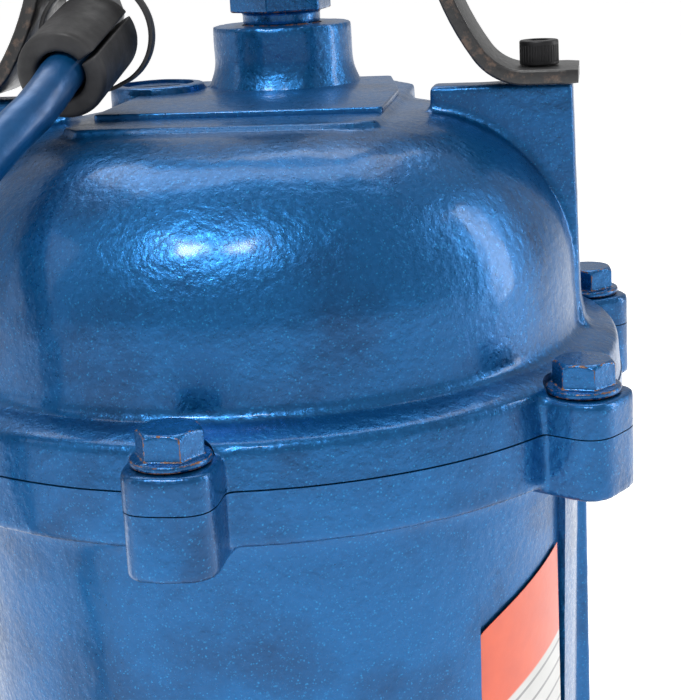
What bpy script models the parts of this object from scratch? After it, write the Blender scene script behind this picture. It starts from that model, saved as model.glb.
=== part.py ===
"""Submersible sump pump: a cast motor housing with a domed cap and lifting strap, over an oil
chamber, a volute with a side outlet and a strainer base. Metres, +Z up. The pump stands on the
XY plane with its shaft on the Z axis; -Y is the front and +X the outlet side."""

import math

import bmesh
import bpy
from mathutils import Matrix, Vector

NAME = "submersible_sump_pump"
GAP = 0.0003  # between pieces that touch

# Heights of the joints between the castings, from the ground up.
STRAINER_TOP = 0.0297
SUCTION_TOP = 0.037
VOLUTE_TOP = 0.085
CHAMBER_TOP = 0.1397
PARTING_Z = 0.330  # between the motor housing and its cap

# Cap and housing flange.
FLANGE_R = 0.096
FLANGE_UP = 0.0098
FLANGE_DOWN = 0.0133
BOLT_CIRCLE = 0.100
LUG_R = 0.0103
LUG_UP = 0.0085
LUG_DOWN = 0.0155
CAP_ANGLES = (0, 60, 120, 180, 240, 300)  # bolt angles run from the front towards +X, in degrees
SPOT_FACE_R = 0.0096

# Dome, measured up from the parting plane.
DOME_R = 0.084
DOME_FLAT_R = 0.044
DOME_TOP = 0.070
DOME_SPRING = 0.028  # where the wall turns into the shoulder
WALL = 0.006
PAD_TOP = 0.073
STEP_TOP = 0.0715

# Lifting strap and the ears it is screwed to.
EAR_TOP = 0.0762
EAR_HALF = 0.0051
EAR_IN, EAR_OUT = 0.048, 0.0845
STRAP_WIDTH = 0.025
STRAP_THICK = 0.0038
SCREW_X = 0.076

# Cable gland and the small plug beside it.
GLAND_Y = 0.050
GLAND_BOSS_R = 0.020
GLAND_BOSS_TOP = 0.090
GLAND_BORE_R = 0.0116
NUT_BASE = 0.0937
NUT_TOP = 0.1063
RELIEF_TOP = 0.136
PLUG_X, PLUG_Y, PLUG_R = -0.035, 0.038, 0.0135

# Supply cable.
CABLE_R = 0.00525
SLEEVE_CENTRE = Vector((-0.0385, -0.020, PARTING_Z + 0.0885))
SLEEVE_AXIS = Vector((0.03, 0.965, 0.26)).normalized()  # from its front end to its rear end
SLEEVE_R, SLEEVE_BORE, SLEEVE_LENGTH = 0.0113, 0.0061, 0.030
TIE_SLACK = 0.0020
COIL_CENTRE = (-0.195, -0.015)
COIL_MIDDLE_R = 0.060
COIL_COLUMNS, COIL_ROWS = 4, 3
COIL_PITCH = 0.0106
COIL_BOTTOM = 0.0015

# Motor, shaft and hydraulics.
SHAFT_TOP, SHAFT_BOTTOM = 0.319, 0.031
STATOR_Z = (0.190, 0.270)
HOUSING_R_TOP, HOUSING_R_FOOT = 0.084, 0.0805
JOINT_FLANGE_R = 0.0955
JOINT_BOLT_CIRCLE = 0.0886
BASE_BOLT_CIRCLE = 0.0895
JOINT_ANGLES = (45, 135, 225, 315)
VOLUTE_ANGLES = (0, 180, 270)
BASE_ANGLES = (-30, 90, 210)
RIB_ANGLES = (100, 140, 180, 220, 260)

# Shallow panel in the housing's wall, and the blank plate in it.
PANEL_ANGLES = (47, 75)
PANEL_FOOT, PANEL_TOP, PANEL_DEPTH = 0.176, 0.3060, 0.0018
PLATE_ANGLES = (49, 73)
PLATE_Z = (0.200, 0.290)
IMPELLER_R = 0.060
OUTLET_Y, OUTLET_Z = 0.050, 0.0595
OUTLET_FACE_X = 0.106
ELBOW_RADIUS = 0.040
OUTLET_BORE_R = 0.017

SEGMENTS = 28

BLUE = (0.012, 0.10, 0.26)
BLACK = (0.012, 0.012, 0.013)
STEEL = (0.45, 0.46, 0.48)
COPPER = (0.45, 0.17, 0.07)
BRASS = (0.55, 0.38, 0.14)


# ---- scene and materials ----

def clear_scene():
    for obj in list(bpy.data.objects):
        bpy.data.objects.remove(obj, do_unlink=True)


def new_collection(name):
    made = bpy.data.collections.new(name)
    bpy.context.scene.collection.children.link(made)
    return made


def material(name, colour, roughness, metallic=0.0):
    made = bpy.data.materials.new(name)
    made.use_nodes = True
    shader = made.node_tree.nodes["Principled BSDF"]
    shader.inputs["Base Color"].default_value = (*colour, 1.0)
    shader.inputs["Roughness"].default_value = roughness
    shader.inputs["Metallic"].default_value = metallic
    return made


def cast_blue(name):
    return material(name, BLUE, 0.35, 0.55)


def place(obj, finish=None, cutter=False):
    """Links an object as a part with its material, or as a hidden tool for Booleans."""
    if cutter:
        CUTTERS.objects.link(obj)
        obj.hide_render = True
        obj.display_type = "WIRE"
    else:
        PARTS.objects.link(obj)
    if finish is not None:
        obj.data.materials.append(finish)
    return obj


# ---- shapes ----

def turned(name, profile, finish=None, segments=SEGMENTS, z=0.0, at=(0.0, 0.0), cutter=False):
    """A profile of (radius, height) turned about Z. It runs down the outside, and back up the
    inside where the piece is a ring."""
    ring = profile[0][0] > 0 or profile[-1][0] > 0
    last = len(profile) - 1
    edges = [(i, i + 1) for i in range(last)] + ([(last, 0)] if ring else [])
    mesh = bpy.data.meshes.new(name)
    mesh.from_pydata([(r, 0.0, h) for r, h in profile], edges, [])
    obj = place(bpy.data.objects.new(name, mesh), finish, cutter)
    obj.location = (at[0], at[1], z)
    screw = obj.modifiers.new("Turn", "SCREW")
    screw.angle = math.tau
    screw.steps = screw.render_steps = segments
    screw.use_merge_vertices = True
    screw.merge_threshold = 1e-6
    return obj


def ring_profile(inner, outer, low, high):
    return [(outer, high), (outer, low), (inner, low), (inner, high)]


def rod_profile(radius, low, high):
    return [(0.0, high), (radius, high), (radius, low), (0.0, low)]


def rod(name, radius, low, high, at=(0.0, 0.0), finish=None, segments=16, cutter=True):
    return turned(name, rod_profile(radius, low, high), finish, segments, 0.0, at, cutter)


def to_mesh(obj):
    """Replaces a curve object by a mesh object with welded caps."""
    bpy.context.view_layer.update()
    graph = bpy.context.evaluated_depsgraph_get()
    mesh = bpy.data.meshes.new_from_object(obj.evaluated_get(graph))
    shape = bmesh.new()
    shape.from_mesh(mesh)
    bmesh.ops.remove_doubles(shape, verts=shape.verts, dist=1e-6)
    bmesh.ops.recalc_face_normals(shape, faces=shape.faces)
    shape.to_mesh(mesh)
    shape.free()
    made = bpy.data.objects.new(obj.name, mesh)
    made.matrix_world = obj.matrix_world.copy()
    for home in obj.users_collection:
        home.objects.link(made)
    made.hide_render = obj.hide_render
    made.display_type = obj.display_type
    name = obj.name
    bpy.data.objects.remove(obj, do_unlink=True)
    made.name = name
    return made


def flat(name, outlines, low, high, finish=None, cutter=True, upright=False):
    """A plate with the given plane outlines between two heights. An upright one has its outline
    in XZ, and its thickness runs from low to high along Y."""
    curve = bpy.data.curves.new(name, "CURVE")
    curve.dimensions = "2D"
    curve.fill_mode = "BOTH"
    curve.extrude = (high - low) / 2
    for outline in outlines:
        spline = curve.splines.new("POLY")
        spline.points.add(len(outline) - 1)
        for point, (x, y) in zip(spline.points, outline):
            point.co = (x, y, 0.0, 1.0)
        spline.use_cyclic_u = True
    obj = place(bpy.data.objects.new(name, curve), finish, cutter)
    middle = (low + high) / 2
    if upright:
        obj.rotation_euler = (math.pi / 2, 0.0, 0.0)
        obj.location = (0.0, middle, 0.0)
    else:
        obj.location = (0.0, 0.0, middle)
    return to_mesh(obj)


def tube(name, points, radius, finish=None, resolution=2, cutter=False):
    curve = bpy.data.curves.new(name, "CURVE")
    curve.dimensions = "3D"
    curve.bevel_depth = radius
    curve.bevel_resolution = resolution
    curve.use_fill_caps = True
    spline = curve.splines.new("POLY")
    spline.points.add(len(points) - 1)
    for point, position in zip(spline.points, points):
        point.co = (*position, 1.0)
    return place(bpy.data.objects.new(name, curve), finish, cutter)


def box(name, low, high, finish=None, cutter=True):
    shape = bmesh.new()
    bmesh.ops.create_cube(shape, size=1.0)
    size = Vector(high) - Vector(low)
    bmesh.ops.scale(shape, vec=size, verts=shape.verts)
    mesh = bpy.data.meshes.new(name)
    shape.to_mesh(mesh)
    shape.free()
    obj = place(bpy.data.objects.new(name, mesh), finish, cutter)
    obj.location = (Vector(low) + Vector(high)) / 2
    return obj


def prism(name, across_flats, low, high, at=(0.0, 0.0), finish=None, cutter=True, turn=0.0):
    """A hexagonal prism with two corners on its X axis, before it is turned."""
    shape = bmesh.new()
    radius = across_flats / math.sqrt(3)
    bmesh.ops.create_cone(shape, cap_ends=True, segments=6, radius1=radius, radius2=radius,
                          depth=high - low)
    mesh = bpy.data.meshes.new(name)
    shape.to_mesh(mesh)
    shape.free()
    obj = place(bpy.data.objects.new(name, mesh), finish, cutter)
    obj.location = (at[0], at[1], (low + high) / 2)
    obj.rotation_euler = (0.0, 0.0, turn)
    return obj


def combine(target, operation, *tools):
    for tool in tools:
        modifier = target.modifiers.new(tool.name, "BOOLEAN")
        modifier.operation = operation
        modifier.solver = "EXACT"
        modifier.object = tool
    return target


def arc(centre, radius, start, end, steps):
    """Points on an arc, angles in degrees."""
    angles = [math.radians(start + (end - start) * i / steps) for i in range(steps + 1)]
    return [(centre[0] + radius * math.cos(a), centre[1] + radius * math.sin(a)) for a in angles]


def circle(centre, radius, steps=16):
    return arc(centre, radius, 0, 360, steps)[:-1]


def bearing_at(angle, radius):
    """A place on a circle about the shaft; angles run from the front towards +X, in degrees."""
    a = math.radians(angle)
    return radius * math.sin(a), -radius * math.cos(a)


def smooth_route(points, spacing):
    """Evenly spaced points on a smooth curve through the given ones."""
    fine = []
    padded = [points[0], *points, points[-1]]
    for a, b, c, d in zip(padded, padded[1:], padded[2:], padded[3:]):
        a, b, c, d = map(Vector, (a, b, c, d))
        for step in range(24):
            t = step / 24
            fine.append(0.5 * (2 * b + (c - a) * t + (2 * a - 5 * b + 4 * c - d) * t * t
                               + (3 * b - a - 3 * c + d) * t ** 3))
    fine.append(Vector(points[-1]))
    lengths = [0.0]
    for a, b in zip(fine, fine[1:]):
        lengths.append(lengths[-1] + (b - a).length)
    count = round(lengths[-1] / spacing)
    route, k = [], 0
    for i in range(count + 1):
        wanted = lengths[-1] * i / count
        while k < len(fine) - 2 and lengths[k + 1] < wanted:
            k += 1
        share = (wanted - lengths[k]) / (lengths[k + 1] - lengths[k])
        route.append(fine[k].lerp(fine[k + 1], share))
    return route


# ---- fasteners ----

def hex_bolt_mesh(name, shank, length, across_flats, head, washer, thick):
    """One bolt with a round washer face under its head. Its origin is under the washer."""
    body = turned(name + "_body", [(0.0, thick), (washer, thick), (washer, 0.0), (shank, 0.0),
                                   (shank, -length), (0.0, -length)], segments=12, cutter=True)
    top = prism(name + "_head", across_flats, thick / 2, thick + head)
    combine(body, "UNION", top)
    bpy.context.view_layer.update()
    graph = bpy.context.evaluated_depsgraph_get()
    mesh = bpy.data.meshes.new_from_object(body.evaluated_get(graph))
    mesh.name = name
    for tool in (body, top):
        bpy.data.objects.remove(tool, do_unlink=True)
    return mesh


def put_bolt(name, mesh, location, finish, turn=0.0, tilt=(0.0, 0.0)):
    obj = place(bpy.data.objects.new(name, mesh.copy()), finish)
    obj.location = location
    obj.rotation_euler = (tilt[0], tilt[1], turn)
    return obj


def lug_outline(angle, circle_r, lug_r, inner_r):
    """A lug with a round tip, reaching inwards to inner_r."""
    a = math.radians(angle)
    out, side = Vector((math.sin(a), -math.cos(a))), Vector((math.cos(a), math.sin(a)))
    tip = [(circle_r + lug_r * math.cos(t), lug_r * math.sin(t))
           for t in [math.radians(-90 + 180 * i / 6) for i in range(7)]]
    shape = [(inner_r, -lug_r), *tip, (inner_r, lug_r)]
    return [tuple(out * along + side * across) for along, across in shape]


def lugs(name, angles, circle_r, lug_r, inner_r, low, high):
    outlines = [lug_outline(angle, circle_r, lug_r, inner_r) for angle in angles]
    return flat(name, outlines, low, high)


def holes(name, angles, circle_r, radius, low, high):
    steps = 8 if radius < 0.006 else 20
    return flat(name, [circle(bearing_at(angle, circle_r), radius, steps) for angle in angles],
                low, high)


# ---- cap, strap and gland ----

def shoulder(flat_r, wall_r, top, spring, steps):
    """A quarter of an ellipse from the dome's flat top down to its wall."""
    points = []
    for i in range(steps + 1):
        a = math.pi / 2 * (1 - i / steps)
        points.append((flat_r + (wall_r - flat_r) * math.cos(a), spring + (top - spring) * math.sin(a)))
    return points


def make_cap():
    low = GAP / 2
    outside = [(0.0, DOME_TOP), *shoulder(DOME_FLAT_R, DOME_R, DOME_TOP, DOME_SPRING, 5),
               (0.0853, 0.017), (0.0866, 0.0138), (0.0903, 0.0122), (0.0925, FLANGE_UP),
               (0.0950, FLANGE_UP), (FLANGE_R, FLANGE_UP - 0.001), (FLANGE_R, low), (0.0, low)]
    cap = turned("top_cap", outside, cast_blue("cap_paint"), z=PARTING_Z)
    z = PARTING_Z
    ears = []
    for side in (-1, 1):
        ears.append([(side * x, z + h) for x, h in (
            (0.040, 0.045), (EAR_IN, 0.060), (EAR_IN, EAR_TOP - 0.0015), (EAR_IN + 0.0015, EAR_TOP),
            (EAR_OUT - 0.0015, EAR_TOP), (EAR_OUT - 0.0003, EAR_TOP - 0.0012), (EAR_OUT + 0.001, 0.020),
            (EAR_OUT + 0.0025, 0.013), (EAR_OUT + 0.005, 0.0095), (EAR_OUT + 0.005, 0.004),
            (0.070, 0.004))])
    lower_pad = [(-0.041, -0.030), (-0.036, -0.036), (0.033, -0.036), (0.038, -0.031),
                 (0.038, 0.050), (0.028, 0.066), (-0.030, 0.066), (-0.041, 0.050)]
    upper_pad = [(-0.037, -0.018), (0.0375, -0.018), (0.0365, 0.024), (0.030, 0.060), (-0.030, 0.060),
                 (-0.037, 0.045)]
    inside = [(0.0, DOME_TOP - WALL), *shoulder(0.042, 0.0775, DOME_TOP - WALL, 0.026, 3),
              (0.0785, 0.010), (0.0785, -0.010), (0.0, -0.010)]
    combine(cap, "UNION",
            flat("step_pad", [lower_pad], z + 0.060, z + STEP_TOP),
            flat("machined_pad", [upper_pad], z + 0.062, z + PAD_TOP),
            flat("ears", ears, -EAR_HALF, EAR_HALF, upright=True),
            lugs("cap_lugs", CAP_ANGLES, BOLT_CIRCLE, LUG_R, 0.080, z + low, z + LUG_UP),
            turned("gland_boss", [(0.0, GLAND_BOSS_TOP), (GLAND_BOSS_R - 0.0015, GLAND_BOSS_TOP),
                                  (GLAND_BOSS_R, GLAND_BOSS_TOP - 0.0015), (GLAND_BOSS_R, 0.0765),
                                  (GLAND_BOSS_R + 0.0025, PAD_TOP - 0.001),
                                  (GLAND_BOSS_R + 0.0025, 0.045), (0.0, 0.045)],
                   segments=20, z=z, at=(0.0, GLAND_Y), cutter=True),
            rod("port_boss", PLUG_R, z + 0.050, z + 0.075, (PLUG_X, PLUG_Y), segments=16))
    combine(cap, "DIFFERENCE",
            turned("cap_inside", inside, z=z, cutter=True),
            rod("gland_bore", GLAND_BORE_R, z + 0.0705, z + 0.1, (0.0, GLAND_Y), segments=16),
            rod("cable_bore", 0.0070, z + 0.030, z + 0.08, (0.0, GLAND_Y), segments=10),
            rod("port_recess", 0.0104, z + 0.0695, z + 0.08, (PLUG_X, PLUG_Y), segments=16),
            holes("spot_faces", CAP_ANGLES, BOLT_CIRCLE, SPOT_FACE_R, z + LUG_UP + 0.00004, z + 0.02),
            holes("cap_bolt_holes", CAP_ANGLES, BOLT_CIRCLE, 0.0044, z - 0.01, z + 0.02),
            flat("screw_holes", [circle((side * SCREW_X, 0.0), 0.0033, 8) for side in (-1, 1)],
                 z + EAR_TOP - 0.016, z + EAR_TOP + 0.01))
    return cap


def strap_line():
    """The strap's middle line on the +X side, from the foot's end to the middle of the grip."""
    foot_z = EAR_TOP + GAP + STRAP_THICK / 2
    points = [(0.086, foot_z)]

    def bend(start, radius, first, last, steps):
        """An arc that turns from one climb angle to another, going towards -X."""
        x, h = start
        found = []
        for i in range(1, steps + 1):
            a = math.radians(first + (last - first) * i / steps)
            a0 = math.radians(first)
            found.append((x - radius * (math.sin(a) - math.sin(a0)),
                          h + radius * (math.cos(a0) - math.cos(a))))
        return found

    points.append((0.073, foot_z))
    points += bend(points[-1], 0.014, 0, 55, 5)
    points += bend(points[-1], 0.070, 55, 90, 5)
    leg_x = points[-1][0]
    points.append((leg_x, 0.150))
    points += [(leg_x - 0.028 * (1 - math.cos(math.radians(a))), 0.150 + 0.028 * math.sin(math.radians(a)))
               for a in (18, 36, 54, 72, 90)]
    return points


def offset_line(points, distance):
    """The line moved sideways by a distance, to its left."""
    moved = []
    for i, here in enumerate(points):
        before, after = Vector(points[max(i - 1, 0)]), Vector(points[min(i + 1, len(points) - 1)])
        along = (after - before).normalized()
        moved.append((here[0] - along.y * distance, here[1] + along.x * distance))
    return moved


def make_strap():
    right = strap_line()
    line = right + [(-x, h) for x, h in reversed(right)]
    outline = offset_line(line, STRAP_THICK / 2) + offset_line(line, -STRAP_THICK / 2)[::-1]
    outline = [(x, h + PARTING_Z) for x, h in outline]
    strap = flat("handle_strap", [outline], -STRAP_WIDTH / 2, STRAP_WIDTH / 2,
                 material("strap_black", BLACK, 0.45, 0.2), cutter=False, upright=True)
    combine(strap, "DIFFERENCE",
            flat("strap_holes", [circle((side * SCREW_X, 0.0), 0.0034, 8) for side in (-1, 1)],
                 PARTING_Z + EAR_TOP - 0.004, PARTING_Z + EAR_TOP + 0.008))
    return strap


def make_handle_screws():
    seat = PARTING_Z + EAR_TOP + GAP + STRAP_THICK + GAP
    for side, label in ((-1, "left"), (1, "right")):
        screw = turned(f"handle_screw_{label}", [(0.0, 0.0062), (0.0046, 0.0062), (0.0050, 0.0058),
                                                (0.0050, 0.0), (0.0030, 0.0), (0.0030, -0.017), (0.0, -0.017)],
                       material(f"screw_black_{label}", BLACK, 0.4, 0.6), 14, seat, (side * SCREW_X, 0.0))
        socket = prism(f"screw_socket_{label}", 0.005, seat + 0.0030, seat + 0.009, (side * SCREW_X, 0.0))
        combine(screw, "DIFFERENCE", socket)


def make_gland():
    z = PARTING_Z
    at = (0.0, GLAND_Y)
    nut = turned("gland_nut", [(0.0112, NUT_BASE + 0.001), (0.0112, 0.0815), (0.0057, 0.0815),
                               (0.0057, NUT_BASE + 0.001)], cast_blue("gland_paint"), 18, z, at)
    head = prism("gland_hex", 0.0262, z + NUT_BASE, z + NUT_TOP, at, turn=math.radians(30 - 4))
    combine(nut, "UNION", head)
    combine(nut, "DIFFERENCE", rod("gland_way", 0.0057, z + 0.075, z + 0.12, at, segments=14))
    turned("gland_grommet", ring_profile(0.0057, 0.0112, 0.0710, 0.0812),
           material("grommet_rubber", BLACK, 0.8), 14, z, at)
    turned("strain_relief", [(0.0, RELIEF_TOP - GAP), (0.0058, RELIEF_TOP - GAP), (0.0064, RELIEF_TOP - 0.004),
                             (0.0088, NUT_TOP + 0.006), (0.0094, NUT_TOP + GAP), (0.0, NUT_TOP + GAP)],
           material("relief_rubber", BLACK, 0.7), 14, z, at)
    turned("vent_plug", [(0.0, 0.0742), (0.0085, 0.0742), (0.0100, 0.0730), (0.0100, 0.0698),
                         (0.0, 0.0698)], cast_blue("vent_paint"), 16, z, (PLUG_X, PLUG_Y))
    combine(bpy.data.objects["vent_plug"], "DIFFERENCE",
            box("vent_slot", (PLUG_X - 0.0065, PLUG_Y - 0.0012, z + 0.0722),
                (PLUG_X + 0.0065, PLUG_Y + 0.0012, z + 0.080)))


def sleeve_turn():
    return SLEEVE_AXIS.to_track_quat("Z", "Y").to_matrix().to_4x4()


def tie_outline(centre, offset):
    """A round loop that stands off the sleeve at its upper right, where the tie is slack."""
    points = []
    for i in range(24):
        a = math.tau * i / 24
        radius = SLEEVE_R + 0.0024 + TIE_SLACK * max(0.0, math.cos(a - math.radians(30))) + offset
        points.append((centre.x + radius * math.cos(a), centre.z + radius * math.sin(a)))
    return points


def make_sleeve():
    """A thick split rubber sleeve on the cable beside the left leg of the strap, and the narrow
    tie round it."""
    half = SLEEVE_LENGTH / 2
    sleeve = turned("cable_sleeve", ring_profile(SLEEVE_BORE, SLEEVE_R, -half, half),
                    material("sleeve_rubber", BLACK, 0.75), 18)
    sleeve.matrix_world = Matrix.Translation(SLEEVE_CENTRE) @ sleeve_turn()
    slit = box("sleeve_slit", (0.003, -0.0005, -0.02), (0.016, 0.0005, 0.02))
    slit.matrix_world = (Matrix.Translation(SLEEVE_CENTRE) @ sleeve_turn()
                         @ Matrix.Rotation(math.radians(150), 4, "Z") @ Matrix.Translation((0.0095, 0.0, 0.0)))
    combine(sleeve, "DIFFERENCE", slit)
    centre = SLEEVE_CENTRE + SLEEVE_AXIS * 0.0125
    front, back = centre.y - 0.0018, centre.y + 0.0018
    tie = flat("cable_tie", [tie_outline(centre, 0.0006), tie_outline(centre, -0.0006)], front, back,
               material("tie_nylon", BLACK, 0.5), cutter=False, upright=True)
    combine(tie, "UNION", box("tie_head", (centre.x + 0.0085, front - 0.001, centre.z + 0.0115),
                              (centre.x + 0.0125, back + 0.001, centre.z + 0.0155)))


def make_cap_bolts():
    mesh = hex_bolt_mesh("cap_bolt_mesh", 0.0040, 0.0190, 0.0132, 0.0060, 0.0089, 0.0017)
    turns = (0, 50, 100, 130, 200, 250)
    for i, angle in enumerate(CAP_ANGLES):
        x, y = bearing_at(angle, BOLT_CIRCLE)
        put_bolt(f"cap_bolt_{i + 1}", mesh, (x, y, PARTING_Z + LUG_UP + GAP),
                 cast_blue(f"cap_bolt_paint_{i + 1}"), math.radians(turns[i]))


# ---- motor ----

def make_housing():
    top = PARTING_Z - GAP / 2
    foot = CHAMBER_TOP + 2 * GAP
    outside = [(FLANGE_R, top), (FLANGE_R, PARTING_Z - FLANGE_DOWN + 0.001),
               (FLANGE_R - 0.001, PARTING_Z - FLANGE_DOWN), (0.0865, PARTING_Z - FLANGE_DOWN),
               (HOUSING_R_TOP, PARTING_Z - 0.0165), (HOUSING_R_FOOT, foot + 0.026),
               (HOUSING_R_FOOT, foot + 0.0095), (JOINT_FLANGE_R, foot + 0.0095), (JOINT_FLANGE_R, foot)]
    seat = [(0.0137, foot), (0.0137, 0.1458), (0.0263, 0.1458), (0.0263, 0.1620), (0.0330, 0.1620),
            (0.0330, 0.1500), (0.0750, 0.1500), (0.0750, 0.3000), (0.0780, 0.3000), (0.0780, top)]
    groove = [(0.0836, top), (0.0836, top - 0.0027), (0.0874, top - 0.0027), (0.0874, top)]
    housing = turned("motor_housing", outside + seat + groove, cast_blue("housing_paint"))
    combine(housing, "UNION",
            lugs("housing_lugs", CAP_ANGLES, BOLT_CIRCLE, LUG_R, 0.090, PARTING_Z - LUG_DOWN, top - 0.00002),
            flat("housing_ribs", [rib_outline(angle) for angle in RIB_ANGLES],
                 foot + 0.012, PARTING_Z - 0.012))
    panel = turned("panel", [(0.0900, PANEL_TOP), (0.0900, PANEL_FOOT),
                             (wall_radius(PANEL_FOOT) - PANEL_DEPTH, PANEL_FOOT),
                             (wall_radius(PANEL_TOP) - PANEL_DEPTH, PANEL_TOP)], cutter=True)
    combine(panel, "INTERSECT", flat("panel_sector", [sector(PANEL_ANGLES, 0.070, 0.095)], 0.10, PARTING_Z))
    combine(housing, "DIFFERENCE", panel,
            holes("housing_bolt_holes", CAP_ANGLES, BOLT_CIRCLE, 0.0044, PARTING_Z - 0.0125, PARTING_Z + 0.01),
            holes("joint_bolt_holes_upper", JOINT_ANGLES, JOINT_BOLT_CIRCLE, 0.0034, 0.10, 0.18))
    turned("cap_gasket", [(0.0855 + 0.0011 * math.cos(a), 0.0011 * math.sin(a)) for a in
                          [math.radians(90 - 60 * i) for i in range(6)]],
           material("gasket_rubber", BLACK, 0.8), 24, PARTING_Z - 0.0014)


def wall_radius(z):
    """The housing's outer radius between its two flanges, where it tapers."""
    top, foot = PARTING_Z - 0.0165, CHAMBER_TOP + 2 * GAP + 0.026
    return HOUSING_R_FOOT + (HOUSING_R_TOP - HOUSING_R_FOOT) * (z - foot) / (top - foot)


def sector(angles, inner, outer):
    """The outline of a sector of a ring, between two angles from the front."""
    outside = [bearing_at(angles[0] + (angles[1] - angles[0]) * i / 4, outer) for i in range(5)]
    return outside + [bearing_at(angles[1] - (angles[1] - angles[0]) * i / 4, inner) for i in range(5)]


def make_rating_plate():
    """A thin blank plate in the housing's shallow panel."""
    flat("rating_plate", [sector(PLATE_ANGLES, 0.0819, 0.0824)], *PLATE_Z,
         material("plate_white", (0.8, 0.8, 0.78), 0.4), cutter=False)


def rib_outline(angle):
    """A shallow upright cooling rib on the back of the housing."""
    a = math.radians(angle)
    out, side = Vector((math.sin(a), -math.cos(a))), Vector((math.cos(a), math.sin(a)))
    return [tuple(out * along + side * across) for along, across in
            ((0.078, -0.0035), (0.0870, -0.0022), (0.0870, 0.0022), (0.078, 0.0035))]


def make_bearing(label, inner, outer, low, high):
    """A sealed ball bearing as its two rings. The shields belong to the outer ring."""
    lip = inner + 0.0050
    wall = outer - 0.0048
    turned(f"{label}_bearing_outer", [(outer, high), (outer, low), (lip, low), (lip, low + 0.0012),
                                      (wall, low + 0.0012), (wall, high - 0.0012), (lip, high - 0.0012),
                                      (lip, high)], material(f"{label}_outer_steel", STEEL, 0.25, 1.0), 18)
    turned(f"{label}_bearing_inner", ring_profile(inner, lip - 0.0005, low, high),
           material(f"{label}_inner_steel", STEEL, 0.25, 1.0), 16)


def make_motor():
    steel = material("stator_laminations", STEEL, 0.5, 0.9)
    turned("stator_core", ring_profile(0.0483, 0.0746, *STATOR_Z), steel)
    for label, low, high in (("upper", STATOR_Z[1] + GAP, 0.292), ("lower", 0.168, STATOR_Z[0] - GAP)):
        turned(f"stator_winding_{label}", [(0.068, high), (0.071, high - 0.004), (0.071, low + 0.003),
                                          (0.068, low), (0.053, low), (0.050, low + 0.003),
                                          (0.050, high - 0.004), (0.053, high)],
               material(f"copper_{label}", COPPER, 0.4, 0.7), 20)
    turned("rotor_core", ring_profile(0.0153, 0.0475, 0.188, 0.272), material("rotor_laminations", STEEL, 0.4, 0.9), 20)
    turned("shaft", [(0.0, SHAFT_TOP), (0.0092, SHAFT_TOP), (0.0097, SHAFT_TOP - 0.001), (0.0097, 0.301),
                     (0.0150, 0.301), (0.0150, 0.164), (0.0125, 0.164), (0.0125, 0.104), (0.0118, 0.104),
                     (0.0118, 0.0855), (0.0090, 0.0855), (0.0090, 0.0435), (0.0059, 0.0435),
                     (0.0059, SHAFT_BOTTOM), (0.0, SHAFT_BOTTOM)],
           material("shaft_steel", STEEL, 0.2, 1.0), 16)
    make_bearing("upper", 0.0100, 0.0235, 0.3020, 0.3160)
    make_bearing("lower", 0.0128, 0.0260, 0.1461, 0.1611)
    turned("bearing_bracket", [(0.0300, 0.3260), (0.0775, 0.3260), (0.0775, 0.3003), (0.0720, 0.3003),
                               (0.0720, 0.3120), (0.0300, 0.3120), (0.0300, 0.3012), (0.0238, 0.3012),
                               (0.0238, 0.3163), (0.0120, 0.3163), (0.0120, 0.3190), (0.0300, 0.3190)],
           cast_blue("bracket_paint"))
    rod("start_capacitor", 0.0160, 0.3263, 0.3763, (0.045, -0.018),
        material("capacitor_can", (0.6, 0.6, 0.58), 0.35, 0.6), 14, cutter=False)


# ---- oil chamber and hydraulics ----

def make_chamber():
    low, high = VOLUTE_TOP + GAP, CHAMBER_TOP
    profile = [(JOINT_FLANGE_R, high), (JOINT_FLANGE_R, 0.1305), (0.0815, 0.1275), (0.0815, 0.0950),
               (JOINT_FLANGE_R, 0.0950), (JOINT_FLANGE_R, low), (0.0136, low), (0.0136, 0.0880),
               (0.0203, 0.0880), (0.0203, 0.0970), (0.0270, 0.0970), (0.0270, 0.0930), (0.0720, 0.0930),
               (0.0720, high)]
    chamber = turned("oil_chamber", profile, cast_blue("chamber_paint"))
    boss = turned("oil_boss", rod_profile(0.0110, 0.0760, 0.0870), segments=14, cutter=True)
    hole = turned("oil_hole", rod_profile(0.0058, 0.0650, 0.0900), segments=10, cutter=True)
    turn = Matrix.Translation((0.0, 0.0, 0.1125)) @ Matrix.Rotation(math.radians(90), 4, "X")
    boss.matrix_world = turn
    hole.matrix_world = turn
    combine(chamber, "UNION", boss)
    combine(chamber, "DIFFERENCE", hole,
            holes("joint_bolt_holes_lower", JOINT_ANGLES, JOINT_BOLT_CIRCLE, 0.0034, 0.120, 0.150),
            holes("volute_bolt_holes_upper", VOLUTE_ANGLES, JOINT_BOLT_CIRCLE, 0.0034, 0.080, 0.100))
    mesh = hex_bolt_mesh("oil_plug_mesh", 0.0055, 0.0100, 0.0130, 0.0050, 0.0090, 0.0015)
    put_bolt("oil_plug", mesh, (0.0, -0.0873, 0.1125), material("plug_brass", BRASS, 0.3, 1.0),
             tilt=(math.pi / 2, 0.0))
    turned("seal_seat", ring_profile(0.0124, 0.0200, 0.0883, 0.0960), material("seat_carbon", BLACK, 0.4), 14)
    turned("seal_rotor", ring_profile(0.0128, 0.0180, 0.0963, 0.1030), material("seal_ceramic", (0.75, 0.74, 0.7), 0.3), 16)
    folds = []
    for i in range(3):
        z = 0.1250 - 0.0072 * i
        folds += [(0.0175, z), (0.0175, z - 0.0040), (0.0160, z - 0.0046), (0.0160, z - 0.0068)]
    turned("seal_bellows", [*folds, (0.0128, 0.1033), (0.0128, 0.1250)],
           material("bellows_rubber", BLACK, 0.7), 16)


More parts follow.
